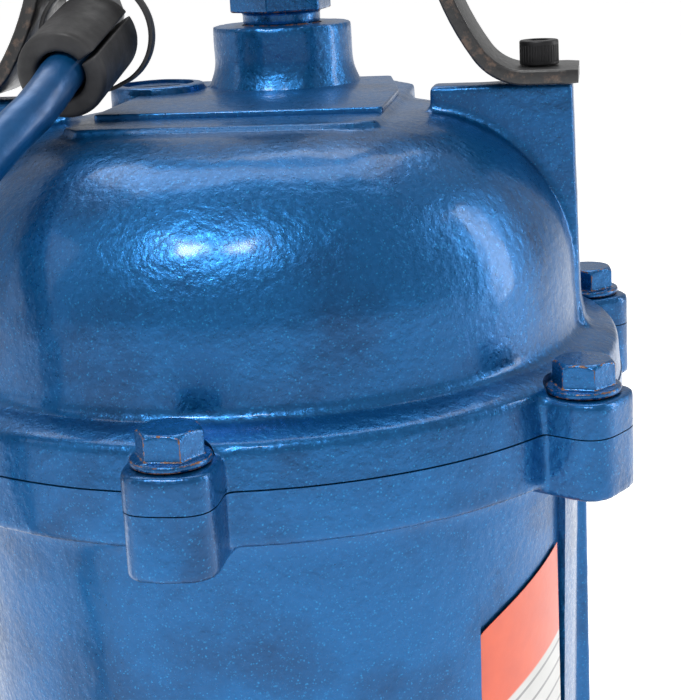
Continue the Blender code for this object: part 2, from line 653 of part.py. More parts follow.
def oval(centre, reach, hub, tip):
    """A two-bolt flange outline, tall along its second axis."""
    cx, cy = centre
    lean = math.degrees(math.acos((hub - tip) / reach))
    top = arc((cx, cy + reach), tip, 90 - lean, 90 + lean, 4)
    left = arc((cx, cy), hub, 90 + lean, 270 - lean, 4)
    bottom = arc((cx, cy - reach), tip, 270 - lean, 270 + lean, 4)
    right = arc((cx, cy), hub, -90 + lean, 90 - lean, 4)
    return top + left[1:-1] + bottom + right[1:-1]


def across_x(obj, x=0.0):
    """Turns a piece made about Z so that its axis runs along +X through the outlet's centre."""
    obj.matrix_world = Matrix.Translation((x, OUTLET_Y, OUTLET_Z)) @ Matrix.Rotation(math.pi / 2, 4, "Y")
    return obj


def outlet_flange(name, low, high):
    """A two-bolt flange plate with its holes, square to the outlet's axis."""
    outlines = [oval((0.0, 0.0), 0.036, 0.027, 0.0095)]
    outlines += [circle((0.0, side * 0.036), 0.0044, 8) for side in (-1, 1)]
    plate = flat(name, outlines, 0.0, high - low)
    plate.matrix_world = (Matrix.Translation((low, OUTLET_Y, OUTLET_Z))
                          @ Matrix(((0, 0, 1, 0), (1, 0, 0, 0), (0, 1, 0, 0), (0, 0, 0, 1)))
                          @ Matrix.Translation((0.0, 0.0, (high - low) / 2)))
    return plate


def make_volute():
    low = SUCTION_TOP + GAP
    profile = [(JOINT_FLANGE_R, VOLUTE_TOP), (JOINT_FLANGE_R, 0.0765), (0.0820, 0.0725), (0.0820, low),
               (0.0700, low), (0.0700, 0.0750), (0.0630, 0.0780), (0.0630, VOLUTE_TOP)]
    volute = turned("volute_casing", profile, cast_blue("volute_paint"))
    nozzle = across_x(turned("nozzle", rod_profile(0.0215, 0.030, OUTLET_FACE_X - 0.004), segments=18, cutter=True))
    bore = across_x(turned("nozzle_bore", rod_profile(OUTLET_BORE_R, 0.020, 0.130), segments=16, cutter=True))
    inside = turned("volute_inside", rod_profile(0.0699, 0.020, 0.0749), cutter=True)
    combine(volute, "UNION", nozzle, outlet_flange("nozzle_flange", OUTLET_FACE_X - 0.008, OUTLET_FACE_X),
            lugs("volute_lugs", BASE_ANGLES, BASE_BOLT_CIRCLE, 0.0100, 0.075, low, 0.052))
    combine(volute, "DIFFERENCE", inside, bore,
            holes("volute_bolt_holes", VOLUTE_ANGLES, JOINT_BOLT_CIRCLE, 0.0034, 0.0765, 0.090),
            holes("volute_base_holes", BASE_ANGLES, BASE_BOLT_CIRCLE, 0.0034, 0.030, 0.060))
    suction = turned("suction_plate", ring_profile(0.0300, 0.0900, STRAINER_TOP + GAP, SUCTION_TOP),
                     cast_blue("suction_paint"))
    combine(suction, "UNION", lugs("suction_lugs", BASE_ANGLES, BASE_BOLT_CIRCLE, 0.0100, 0.075,
                                   STRAINER_TOP + GAP, SUCTION_TOP))
    combine(suction, "DIFFERENCE",
            holes("suction_holes", BASE_ANGLES, BASE_BOLT_CIRCLE, 0.0034, 0.020, 0.045))
    base = turned("strainer_base", rod_profile(0.0950, 0.0, 0.0060), cast_blue("base_paint"))
    combine(base, "UNION", lugs("base_posts", BASE_ANGLES, BASE_BOLT_CIRCLE, 0.0100, 0.078, 0.0, STRAINER_TOP))
    combine(base, "DIFFERENCE", holes("base_holes", BASE_ANGLES, BASE_BOLT_CIRCLE, 0.0034, 0.014, 0.040))


def make_impeller():
    hub = turned("impeller", [(0.0130, 0.0840), (0.0130, 0.0745), (IMPELLER_R, 0.0735), (IMPELLER_R, 0.0700),
                              (0.0180, 0.0680), (0.0150, 0.0440), (0.0093, 0.0440), (0.0093, 0.0840)],
                 material("impeller_iron", (0.12, 0.12, 0.13), 0.5, 0.8), 24)
    vanes = []
    for i in range(4):
        outer, inner = [], []
        for step in range(6):
            share = step / 5
            radius = 0.0140 + (IMPELLER_R - 0.0010 - 0.0140) * share
            turn = math.radians(90 * i + 95 * share)
            half = 0.0016 / radius
            outer.append((radius * math.cos(turn + half), radius * math.sin(turn + half)))
            inner.append((radius * math.cos(turn - half), radius * math.sin(turn - half)))
        vanes.append(outer + inner[::-1])
    combine(hub, "UNION", *[flat(f"vane_{i + 1}", [vane], 0.0460, 0.0715) for i, vane in enumerate(vanes)])
    nut = prism("impeller_nut", 0.0185, 0.0350, 0.0430, finish=material("nut_steel", STEEL, 0.3, 1.0), cutter=False)
    combine(nut, "DIFFERENCE", rod("nut_bore", 0.0062, 0.030, 0.050, segments=12))


def make_outlet():
    face = OUTLET_FACE_X + GAP
    gasket = turned("outlet_gasket", ring_profile(OUTLET_BORE_R, 0.0262, 0.0, 0.0015),
                    material("outlet_gasket_rubber", BLACK, 0.8), 18)
    across_x(gasket, face)
    start = face + 0.0015 + GAP
    bend_x = start + 0.012
    line = [(start + 0.004, OUTLET_Y, OUTLET_Z), (bend_x, OUTLET_Y, OUTLET_Z)]
    for i in range(1, 6):
        a = math.radians(90 * i / 6)
        line.append((bend_x + ELBOW_RADIUS * math.sin(a), OUTLET_Y, OUTLET_Z + ELBOW_RADIUS * (1 - math.cos(a))))
    top_z = OUTLET_Z + ELBOW_RADIUS + 0.012
    centre_x = bend_x + ELBOW_RADIUS
    line += [(centre_x, OUTLET_Y, OUTLET_Z + ELBOW_RADIUS), (centre_x, OUTLET_Y, top_z - 0.003)]
    body = to_mesh(tube("outlet_elbow", line, 0.0222, resolution=3))
    body.data.materials.append(cast_blue("elbow_paint"))
    way = [(start - 0.01, OUTLET_Y, OUTLET_Z), *line[1:-1], (centre_x, OUTLET_Y, top_z + 0.02)]
    collar = rod("elbow_collar", 0.0263, top_z - 0.0125, top_z, (centre_x, OUTLET_Y), segments=18)
    combine(body, "UNION", outlet_flange("elbow_flange", start, start + 0.008), collar)
    combine(body, "DIFFERENCE", to_mesh(tube("elbow_way", way, OUTLET_BORE_R, resolution=3, cutter=True)))
    mesh = hex_bolt_mesh("outlet_bolt_mesh", 0.0040, 0.0190, 0.0132, 0.0055, 0.0088, 0.0016)
    for side, label in ((-1, "lower"), (1, "upper")):
        put_bolt(f"outlet_bolt_{label}", mesh, (start + 0.008 + GAP, OUTLET_Y, OUTLET_Z + side * 0.036),
                 material(f"outlet_bolt_steel_{label}", STEEL, 0.35, 0.9), tilt=(0.0, math.pi / 2))
    barb = [(0.0185, 0.058), (0.0200, 0.054)]
    for i in range(4):
        z = 0.054 - 0.0095 * i
        barb += [(0.0225, z - 0.0080), (0.0200, z - 0.0080)]
    barb += [(0.0200, 0.0130), (0.0250, 0.0130), (0.0250, 0.0003), (0.0152, 0.0003), (0.0152, -0.0085),
             (0.0130, -0.0085), (0.0150, 0.004), (0.0165, 0.020), (0.0165, 0.058)]
    turned("hose_barb", barb, material("barb_plastic", BLACK, 0.5), 16, top_z, (centre_x, OUTLET_Y))


def make_joint_bolts():
    joint = hex_bolt_mesh("joint_bolt_mesh", 0.0030, 0.0150, 0.0100, 0.0040, 0.0063, 0.0012)
    base = hex_bolt_mesh("base_bolt_mesh", 0.0030, 0.0330, 0.0100, 0.0040, 0.0063, 0.0012)
    groups = (("housing_bolt", JOINT_ANGLES, JOINT_BOLT_CIRCLE, CHAMBER_TOP + 2 * GAP + 0.0095 + GAP, joint),
              ("volute_bolt", VOLUTE_ANGLES, JOINT_BOLT_CIRCLE, 0.0950 + GAP, joint),
              ("base_bolt", BASE_ANGLES, BASE_BOLT_CIRCLE, 0.052 + GAP, base))
    for label, angles, circle_r, z, mesh in groups:
        for i, angle in enumerate(angles):
            x, y = bearing_at(angle, circle_r)
            put_bolt(f"{label}_{i + 1}", mesh, (x, y, z), material(f"{label}_steel_{i + 1}", STEEL, 0.35, 0.9),
                     math.radians(20 * i))


# ---- supply cable ----

COIL_OUT = COIL_MIDDLE_R + COIL_COLUMNS * COIL_PITCH / 2
COIL_IN = COIL_MIDDLE_R - COIL_COLUMNS * COIL_PITCH / 2
COIL_TURN_R = COIL_OUT - COIL_PITCH / 2  # middle line of the outermost turn
FLOOR_LINE = COIL_BOTTOM + COIL_PITCH / 2
ENTRY_X = COIL_CENTRE[0] + math.sqrt((COIL_OUT + GAP) ** 2 - (COIL_TURN_R - CABLE_R) ** 2) + 0.0005
Z = PARTING_Z  # short, for the route below

CABLE_POINTS = [
    (0.000, 0.050, Z + 0.136), (0.000, 0.0505, Z + 0.150), (-0.002, 0.052, Z + 0.168),
    (-0.010, 0.052, Z + 0.188), (-0.026, 0.049, Z + 0.203), (-0.046, 0.044, Z + 0.206),
    (-0.064, 0.038, Z + 0.196), (-0.074, 0.032, Z + 0.177), (-0.073, 0.028, Z + 0.154),
    (-0.0640, 0.0280, Z + 0.130), (-0.0560, 0.0260, Z + 0.1130), (-0.0478, 0.0205, Z + 0.1032),
    (-0.0405, 0.0105, Z + 0.0978), *[SLEEVE_CENTRE + SLEEVE_AXIS * s for s in (0.018, 0.006, -0.006, -0.016)],
    (-0.0415, -0.0450, Z + 0.0785), (-0.0462, -0.0550, Z + 0.0725),
    (-0.0530, -0.0680, Z + 0.0620), (-0.0610, -0.0820, Z + 0.0440), (-0.0680, -0.0940, Z + 0.0180),
    (-0.0740, -0.1030, Z - 0.0200), (-0.0790, -0.1090, Z - 0.0800), (-0.0840, -0.1130, Z - 0.1600),
    (-0.0890, -0.1150, Z - 0.2300), (-0.0960, -0.1150, Z - 0.2720), (-0.1080, -0.1110, Z - 0.3030),
    (-0.1260, -0.1030, FLOOR_LINE + 0.006), (-0.1420, -0.0950, FLOOR_LINE + 0.0005),
    (ENTRY_X, COIL_CENTRE[1] - COIL_TURN_R, FLOOR_LINE)]


def make_cable():
    jacket = material("cable_jacket", (0.03, 0.035, 0.04), 0.55)
    route = smooth_route(CABLE_POINTS, 0.0165)
    tube("power_cable", route, CABLE_R, jacket)
    height = COIL_ROWS * COIL_PITCH
    turned("cable_coil", ring_profile(COIL_IN, COIL_OUT, COIL_BOTTOM, COIL_BOTTOM + height),
           material("coil_jacket", (0.03, 0.035, 0.04), 0.55), 28, 0.0, COIL_CENTRE)
    cx, cy = COIL_CENTRE
    tie_gap, tie_thick = 0.0004, 0.0008
    low, high = COIL_BOTTOM - tie_gap, COIL_BOTTOM + height + tie_gap
    near, far = COIL_IN - 0.0012, COIL_OUT + tie_gap

    def loop(grow):
        return [(cx - far - grow, low - grow), (cx - near + grow, low - grow),
                (cx - near + grow, high + grow), (cx - far - grow, high + grow)]

    flat("coil_tie", [loop(tie_thick), loop(0.0)], cy - 0.004, cy + 0.004,
         material("coil_tie_nylon", BLACK, 0.6), cutter=False, upright=True)
    tail_start = (2 * cx - ENTRY_X, cy - COIL_TURN_R)
    plug_x = cx - 0.060
    tube("cable_tail", [(tail_start[0], tail_start[1], FLOOR_LINE + 0.0052),
                        ((tail_start[0] + plug_x) / 2, tail_start[1], FLOOR_LINE + 0.0066),
                        (plug_x + 2 * GAP, tail_start[1], FLOOR_LINE + 0.0070)], CABLE_R,
         material("tail_jacket", (0.03, 0.035, 0.04), 0.55))
    make_plug(plug_x, tail_start[1], FLOOR_LINE + 0.0072)


def make_plug(x, y, z):
    """A three-pin plug that points along -X and lies on the ground."""
    half = z - 0.0003
    body = flat("plug", [[(x, y - 0.0062), (x - 0.006, y - 0.0070), (x - 0.018, y - 0.0125), (x - 0.034, y - 0.0150),
                          (x - 0.036, y - 0.0140), (x - 0.036, y + 0.0140), (x - 0.034, y + 0.0150),
                          (x - 0.018, y + 0.0125), (x - 0.006, y + 0.0070), (x, y + 0.0062)]],
                z - half, z + half, cutter=False)
    body.data.materials.append(material("plug_body", BLACK, 0.6))
    blades = [box(f"blade_{label}", (x - 0.052, y + side * 0.0063 - 0.0008, z - 0.0012),
                  (x - 0.030, y + side * 0.0063 + 0.0008, z + 0.0050))
              for label, side in (("a", -1), ("b", 1))]
    pin = turned("ground_pin", rod_profile(0.0024, 0.0, 0.026), segments=12, cutter=True)
    pin.matrix_world = Matrix.Translation((x - 0.030, y, z - 0.0060)) @ Matrix.Rotation(-math.pi / 2, 4, "Y")
    combine(body, "UNION", *blades, pin)


# ---- finish ----

def bake(obj, graph):
    """Applies an object's modifiers and shades its round faces smooth."""
    if obj.type != "MESH":
        return
    if obj.modifiers:
        mesh = bpy.data.meshes.new_from_object(obj.evaluated_get(graph))
        obj.modifiers.clear()
        obj.data = mesh
    obj.data.shade_smooth()
    obj.data.set_sharp_from_angle(angle=math.radians(35))


def main():
    make_cap()
    make_strap()
    make_handle_screws()
    make_gland()
    make_sleeve()
    make_cap_bolts()
    make_housing()
    make_rating_plate()
    make_motor()
    make_chamber()
    make_volute()
    make_impeller()
    make_outlet()
    make_joint_bolts()
    make_cable()
    bpy.context.view_layer.update()
    graph = bpy.context.evaluated_depsgraph_get()
    for obj in PARTS.objects:
        bake(obj, graph)
    for obj in list(CUTTERS.objects):
        bpy.data.objects.remove(obj, do_unlink=True)


clear_scene()
PARTS = new_collection(NAME)
CUTTERS = new_collection(NAME + "_cutters")
main()
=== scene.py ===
import math

import bmesh
import bpy
from mathutils import Matrix, Vector, noise
from mathutils.kdtree import KDTree


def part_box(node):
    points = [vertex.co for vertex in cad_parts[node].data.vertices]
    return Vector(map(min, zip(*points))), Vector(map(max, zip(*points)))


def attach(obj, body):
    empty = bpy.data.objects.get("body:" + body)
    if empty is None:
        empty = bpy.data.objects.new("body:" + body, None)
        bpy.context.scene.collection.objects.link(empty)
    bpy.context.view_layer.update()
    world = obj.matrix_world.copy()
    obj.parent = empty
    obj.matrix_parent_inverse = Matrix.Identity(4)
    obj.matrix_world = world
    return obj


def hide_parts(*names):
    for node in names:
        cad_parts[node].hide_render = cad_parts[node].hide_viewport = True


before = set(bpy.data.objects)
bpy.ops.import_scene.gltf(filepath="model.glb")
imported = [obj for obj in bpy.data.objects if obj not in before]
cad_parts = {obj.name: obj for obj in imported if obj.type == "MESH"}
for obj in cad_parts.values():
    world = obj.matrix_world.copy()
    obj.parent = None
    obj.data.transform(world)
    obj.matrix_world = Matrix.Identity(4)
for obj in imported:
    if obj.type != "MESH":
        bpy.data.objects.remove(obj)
for startup in ("Cube", "Camera", "Light"):
    if startup in bpy.data.objects:
        bpy.data.objects.remove(bpy.data.objects[startup])
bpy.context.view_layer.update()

BODY = "pump_body"
GAP = 0.0003  # the clearance that touching pieces keep
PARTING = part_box("top_cap")[0].z - 0.00015  # the seam between cap and housing
HALF_SEAM = 0.00015
HOUSING_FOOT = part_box("motor_housing")[0].z
CHAMBER_LOW, CHAMBER_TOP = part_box("oil_chamber")[0].z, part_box("oil_chamber")[1].z
VOLUTE_LOW, VOLUTE_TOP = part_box("volute_casing")[0].z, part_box("volute_casing")[1].z
SUCTION_LOW, SUCTION_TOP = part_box("suction_plate")[0].z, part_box("suction_plate")[1].z
STRAINER_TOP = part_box("strainer_base")[1].z

# Cap and housing, heights from the parting plane
FLANGE_R, FLANGE_UP, FLANGE_DOWN = 0.096, 0.0098, 0.0133
BOLT_CIRCLE, LUG_R, LUG_UP, LUG_DOWN = 0.100, 0.0103, 0.0085, 0.0155
CAP_ANGLES = [60 * i for i in range(6)]
DOME_R, DOME_FLAT_R, DOME_TOP, DOME_SPRING = 0.084, 0.044, 0.070, 0.028
PAD_TOP, STEP_TOP = 0.073, 0.0715
EAR_TOP, EAR_HALF, EAR_IN, EAR_OUT = 0.0762, 0.0051, 0.048, 0.0845
STRAP_WIDTH, STRAP_THICK, SCREW_X = 0.025, 0.0038, 0.076
GLAND_Y, GLAND_BOSS_R, GLAND_BOSS_TOP = 0.050, 0.020, 0.090
NUT_BASE, NUT_TOP, RELIEF_TOP = 0.0937, 0.1063, 0.136
PORT_X, PORT_Y, PORT_R = -0.035, 0.038, 0.0135
WALL_R_TOP, WALL_R_FOOT = 0.084, 0.0805
JOINT_R, JOINT_CIRCLE, BASE_CIRCLE = 0.0955, 0.0886, 0.0895
BOLT_HOLE_R, JOINT_HOLE_R = 0.0044, 0.0034
BASE_LUG_R = 0.0100
JOINT_ANGLES, VOLUTE_ANGLES, BASE_ANGLES = (45, 135, 225, 315), (0, 180, 270), (-30, 90, 210)
PANEL_ANGLES, PANEL_FOOT, PANEL_TOP, PANEL_DEPTH = (47, 75), 0.176, 0.3060, 0.0018
PLATE_ANGLES = (49, 73)
RIB_ANGLES = (100, 140, 180, 220, 260)
OUTLET_Y, OUTLET_Z, OUTLET_FACE_X, ELBOW_RADIUS, BORE_R = 0.050, 0.0595, 0.106, 0.040, 0.017
OUTLET_BOLT_REACH = 0.036  # from the outlet's centre up and down to its bolts

# Supply cable
CABLE_R = 0.00525
SLEEVE_CENTRE = Vector((-0.0385, -0.020, PARTING + 0.0885))
SLEEVE_AXIS = Vector((0.03, 0.965, 0.26)).normalized()
SLEEVE_R, SLEEVE_BORE, SLEEVE_LENGTH = 0.0113, 0.0061, 0.030
TIE_SLACK = 0.0020
COIL_CENTRE = (-0.195, -0.015)
COIL_MIDDLE_R, COIL_PITCH, COIL_BOTTOM = 0.060, 0.0106, 0.0015
COIL_TURN_R = COIL_MIDDLE_R + 1.5 * COIL_PITCH
FLOOR_LINE = COIL_BOTTOM + COIL_PITCH / 2

# Colours, linear
PAINT_METALLIC = 0.72
PAINT_DARK, PAINT_MID, PAINT_LIGHT = (0.0005, 0.048, 0.150), (0.0010, 0.088, 0.260), (0.020, 0.280, 0.620)
RUST, RUST_DARK = (0.22, 0.095, 0.040), (0.075, 0.030, 0.014)
BLACK = (0.010, 0.010, 0.011)


# ---- camera, light and floor ----

def make_camera():
    data = bpy.data.cameras.new("camera")
    data.sensor_width = 36.0
    data.lens = 83.55
    data.shift_x, data.shift_y = -0.0843, -0.0714
    camera = bpy.data.objects.new("camera", data)
    turn, dip, roll = math.radians(7.470), math.radians(13.480), math.radians(-2.564)
    ahead = Vector((-math.sin(turn) * math.cos(dip), math.cos(turn) * math.cos(dip), -math.sin(dip)))
    level = Vector((math.cos(turn), math.sin(turn), 0.0))
    upright = level.cross(ahead)
    right = math.cos(roll) * level + math.sin(roll) * upright
    up = math.cos(roll) * upright - math.sin(roll) * level
    camera.matrix_world = Matrix((right, up, -ahead)).transposed().to_4x4()
    camera.location = (0.0923, -0.4187, PARTING + 0.1203)
    bpy.context.scene.collection.objects.link(camera)
    bpy.context.scene.camera = camera


def area_light(name, place, aim, size, power):
    data = bpy.data.lights.new(name, "AREA")
    data.shape = "RECTANGLE"
    data.size, data.size_y = size
    data.energy = power
    light = bpy.data.objects.new(name, data)
    light.location = place
    light.rotation_euler = (Vector(aim) - Vector(place)).to_track_quat("-Z", "Y").to_euler()
    bpy.context.scene.collection.objects.link(light)


def make_studio():
    world = bpy.data.worlds.new("studio")
    bpy.context.scene.world = world
    bpy.context.scene.view_settings.view_transform = "Standard"
    world.use_nodes = True
    world.node_tree.nodes["Background"].inputs["Color"].default_value = (1.0, 1.0, 1.0, 1.0)
    world.node_tree.nodes["Background"].inputs["Strength"].default_value = 0.47
    middle = (0.0, 0.0, 0.33)
    area_light("key", (-0.38, -1.10, 1.60), middle, (0.30, 0.22), 13.0)
    area_light("second_key", (0.10, -1.10, 1.62), middle, (0.22, 0.18), 6.0)
    area_light("overhead", (-0.2, 0.7, 2.0), middle, (1.8, 1.0), 22.0)
    area_light("rim_right", (1.5, 0.35, 0.75), middle, (0.25, 1.3), 10.0)
    area_light("fill_left", (-1.6, -0.5, 0.9), middle, (0.6, 1.2), 3.0)
    floor_mesh = bpy.data.meshes.new("floor")
    shape = bmesh.new()
    bmesh.ops.create_grid(shape, x_segments=2, y_segments=2, size=14.0)
    shape.to_mesh(floor_mesh)
    shape.free()
    floor = bpy.data.objects.new("floor", floor_mesh)
    bpy.context.scene.collection.objects.link(floor)
    floor.location.z = -0.0002
    finish = bpy.data.materials.new("floor_white")
    finish.use_nodes = True
    shader = finish.node_tree.nodes["Principled BSDF"]
    shader.inputs["Base Color"].default_value = (0.9, 0.9, 0.9, 1.0)
    shader.inputs["Roughness"].default_value = 0.9
    shader.inputs["Emission Color"].default_value = (1.0, 1.0, 1.0, 1.0)
    shader.inputs["Emission Strength"].default_value = 0.58
    floor_mesh.materials.append(finish)


# ---- materials ----

class Finish:
    """A material's Principled shader, with short calls for the nodes that feed it."""

    def __init__(self, name, **values):
        self.material = bpy.data.materials.new(name)
        self.material.use_nodes = True
        self.tree = self.material.node_tree
        self.shader = self.tree.nodes["Principled BSDF"]
        for socket, value in values.items():
            self.set(socket.replace("_", " "), value)
        self.place = self.add("ShaderNodeTexCoord").outputs["Object"]

    def set(self, socket, value):
        self.shader.inputs[socket].default_value = (*value, 1.0) if isinstance(value, tuple) else value

    def add(self, kind, **settings):
        made = self.tree.nodes.new(kind)
        for key, value in settings.items():
            setattr(made, key, value)
        return made

    def feed(self, socket, source):
        self.tree.links.new(source, self.shader.inputs[socket])

    def link(self, source, target):
        self.tree.links.new(source, target)

    def noise(self, scale, detail=3.0, rough=0.55, stretch=None):
        made = self.add("ShaderNodeTexNoise")
        made.inputs["Scale"].default_value = scale
        made.inputs["Detail"].default_value = detail
        made.inputs["Roughness"].default_value = rough
        if stretch is None:
            self.link(self.place, made.inputs["Vector"])
        else:
            mapping = self.add("ShaderNodeMapping")
            mapping.inputs["Scale"].default_value = stretch
            self.link(self.place, mapping.inputs["Vector"])
            self.link(mapping.outputs["Vector"], made.inputs["Vector"])
        return made.outputs["Fac"]

    def cells(self, scale):
        made = self.add("ShaderNodeTexVoronoi")
        made.inputs["Scale"].default_value = scale
        self.link(self.place, made.inputs["Vector"])
        return made

    def ramp(self, source, *stops):
        """Maps a value to grey levels or colours, given as (position, level or colour)."""
        made = self.add("ShaderNodeValToRGB")
        while len(made.color_ramp.elements) < len(stops):
            made.color_ramp.elements.new(0.5)
        for element, (position, level) in zip(made.color_ramp.elements, stops):
            element.position = position
            colour = level if isinstance(level, tuple) else (level, level, level)
            element.color = (*colour, 1.0)
        self.link(source, made.inputs["Fac"])
        return made.outputs["Color"]

    def mix(self, share, first, second):
        """Blends two colours; each is a socket or a colour."""
        made = self.add("ShaderNodeMix", data_type="RGBA")
        for socket, value in ((0, share), (6, first), (7, second)):
            if isinstance(value, (tuple, float)):
                made.inputs[socket].default_value = (*value, 1.0) if isinstance(value, tuple) else value
            else:
                self.link(value, made.inputs[socket])
        return made.outputs[2]

    def math(self, operation, *values):
        """A sum of sockets and numbers, in the order of the node's inputs."""
        made = self.add("ShaderNodeMath", operation=operation)
        for socket, value in zip(made.inputs, values):
            if isinstance(value, float):
                socket.default_value = value
            else:
                self.link(value, socket)
        return made.outputs[0]

    def attribute(self, name):
        return self.add("ShaderNodeAttribute", attribute_name=name).outputs["Fac"]

    def attribute_vector(self, name):
        return self.add("ShaderNodeAttribute", attribute_name=name).outputs["Vector"]

    def bump(self, *layers):
        """Layers of relief, each a height and its depth in metres."""
        normal = None
        for height, depth in layers:
            made = self.add("ShaderNodeBump")
            made.inputs["Strength"].default_value = 1.0
            made.inputs["Distance"].default_value = depth
            self.link(height, made.inputs["Height"])
            if normal is not None:
                self.link(normal, made.inputs["Normal"])
            normal = made.outputs["Normal"]
        self.feed("Normal", normal)


def blue_paint(name, worn=0.0, rough=0.34):
    """Metallic blue enamel over a sand casting: orange peel, fine flakes, and on worn pieces bare
    rusty edges where the mesh carries a "wear" value."""
    paint = Finish(name, Metallic=PAINT_METALLIC, Coat_Weight=0.30, Coat_Roughness=0.14, IOR=1.5)
    broad = paint.ramp(paint.noise(38.0, 4.0), (0.30, PAINT_DARK), (0.52, PAINT_MID), (0.85, PAINT_MID))
    flakes = paint.ramp(paint.cells(3000.0).outputs["Color"], (0.80, 0.0), (0.97, 1.0))
    colour = paint.mix(paint.math("MULTIPLY", flakes, 0.55), broad, PAINT_LIGHT)
    pits = paint.ramp(paint.noise(150.0, 2.0), (0.22, 1.0), (0.29, 0.0))
    colour = paint.mix(paint.math("MULTIPLY", pits, 0.25), colour, (0.001, 0.018, 0.065))
    roughness = paint.ramp(paint.noise(900.0, 2.0), (0.30, rough - 0.09), (0.70, rough + 0.10))
    if worn:
        chips = paint.math("MULTIPLY", paint.attribute("wear_and_lit_edge"), worn)
        patch = paint.math("ADD", chips, paint.math("MULTIPLY", paint.noise(520.0, 4.0, 0.65), 0.9))
        bare = paint.ramp(patch, (0.93, 0.0), (1.0, 1.0))
        rust = paint.ramp(paint.noise(900.0, 4.0), (0.35, RUST_DARK), (0.62, RUST))
        colour = paint.mix(bare, colour, rust)
        roughness = paint.mix(bare, roughness, (0.85, 0.85, 0.85))
        paint.feed("Metallic", paint.math("MULTIPLY_ADD", bare, -0.6, PAINT_METALLIC))
    paint.feed("Base Color", colour)
    paint.feed("Roughness", roughness)
    peel = paint.noise(520.0, 3.0, 0.55)
    sand = paint.noise(1500.0, 2.0)
    swell = paint.noise(130.0, 2.0)
    paint.bump((swell, 0.00032), (peel, 0.00022), (sand, 0.00007))
    return paint.material


def black_rubber(name, colour=BLACK, rough=0.62, grain=900.0, depth=0.00008):
    rubber = Finish(name, Specular_IOR_Level=0.45)
    dusty = tuple(2.4 * c + 0.006 for c in colour)
    dust = rubber.ramp(rubber.noise(120.0, 5.0), (0.35, colour), (0.80, dusty))
    rubber.feed("Base Color", dust)
    rubber.feed("Roughness", rubber.ramp(rubber.noise(300.0, 3.0), (0.3, rough - 0.1), (0.7, rough + 0.12)))
    rubber.bump((rubber.noise(grain, 3.0), depth))
    return rubber.material


def cable_paint(name):
    """Black rubber jacket, sprayed over with the pump's blue where it lies against the dome."""
    jacket = Finish(name, Coat_Weight=0.25, Coat_Roughness=0.2)
    split = jacket.add("ShaderNodeSeparateXYZ")
    jacket.link(jacket.place, split.inputs[0])
    high = jacket.add("ShaderNodeMapRange")
    jacket.link(split.outputs["Z"], high.inputs["Value"])
    high.inputs["From Min"].default_value = PARTING - 0.070
    high.inputs["From Max"].default_value = PARTING + 0.030
    front = jacket.add("ShaderNodeMapRange")
    jacket.link(split.outputs["Y"], front.inputs["Value"])
    front.inputs["From Min"].default_value = -0.010
    front.inputs["From Max"].default_value = -0.028
    sprayed = jacket.math("MULTIPLY", high.outputs[0], front.outputs[0])
    side = jacket.attribute("bare_side")
    speckle = jacket.math("MULTIPLY", jacket.noise(160.0, 5.0, 0.65), 0.8)
    patchy = jacket.math("SUBTRACT", jacket.math("ADD", sprayed, speckle), side)
    cover = jacket.ramp(patchy, (0.55, 0.0), (0.72, 1.0))
    grey = jacket.ramp(jacket.noise(90.0, 5.0), (0.3, (0.016, 0.018, 0.022)), (0.8, (0.060, 0.066, 0.074)))
    blue = jacket.ramp(jacket.noise(60.0, 4.0), (0.3, PAINT_DARK), (0.7, PAINT_MID))
    jacket.feed("Base Color", jacket.mix(cover, grey, blue))
    jacket.feed("Roughness", jacket.ramp(jacket.noise(500.0, 3.0), (0.3, 0.30), (0.7, 0.48)))
    jacket.feed("Metallic", jacket.math("MULTIPLY", cover, 0.4))
    jacket.bump((jacket.noise(260.0, 3.0), 0.00018), (jacket.noise(1400.0, 2.0), 0.00004))
    return jacket.material


def strap_paint(name):
    """Black powder coat, with a painted highlight: its edge faces a lighter brown, in patches."""
    coat = Finish(name, Coat_Weight=0.2, Coat_Roughness=0.3)
    # Painted highlight: the edge faces turn a lighter brown, broken into patches by noise, standing in for
    # light falling on them.
    edge = coat.math("ADD", coat.attribute("wear_and_lit_edge"), coat.math("MULTIPLY", coat.noise(300.0, 5.0, 0.7), 0.85))
    lit_edge = coat.ramp(edge, (0.90, 0.0), (1.0, 1.0))
    black = coat.ramp(coat.noise(80.0, 4.0), (0.3, (0.006, 0.006, 0.007)), (0.8, (0.018, 0.018, 0.019)))
    coat.feed("Base Color", coat.mix(lit_edge, black, (0.085, 0.055, 0.040)))
    coat.feed("Roughness", coat.ramp(coat.noise(700.0, 3.0), (0.3, 0.30), (0.7, 0.48)))
    coat.bump((coat.noise(1100.0, 3.0), 0.00007))
    return coat.material


def bare_metal(name, colour, rough, brushed=(1.0, 1.0, 12.0), metallic=1.0):
    metal = Finish(name, Metallic=metallic)
    dark = tuple(0.72 * c for c in colour)
    metal.feed("Base Color", metal.ramp(metal.noise(60.0, 5.0, stretch=brushed), (0.3, dark), (0.7, colour)))
    streaks = metal.noise(220.0, 3.0, stretch=brushed)
    metal.feed("Roughness", metal.ramp(streaks, (0.3, rough - 0.07), (0.7, rough + 0.1)))
    metal.bump((metal.noise(700.0, 2.0, stretch=brushed), 0.00003))
    return metal.material


# ---- shapes ----

def add_object(name, mesh):
    made = bpy.data.objects.new(name, mesh)
    bpy.context.scene.collection.objects.link(made)
    return made


def finished(name, build):
    """An object from a bmesh, with its normals facing out."""
    bmesh.ops.recalc_face_normals(build, faces=build.faces)
    mesh = bpy.data.meshes.new(name)
    build.to_mesh(mesh)
    build.free()
    return add_object(name, mesh)


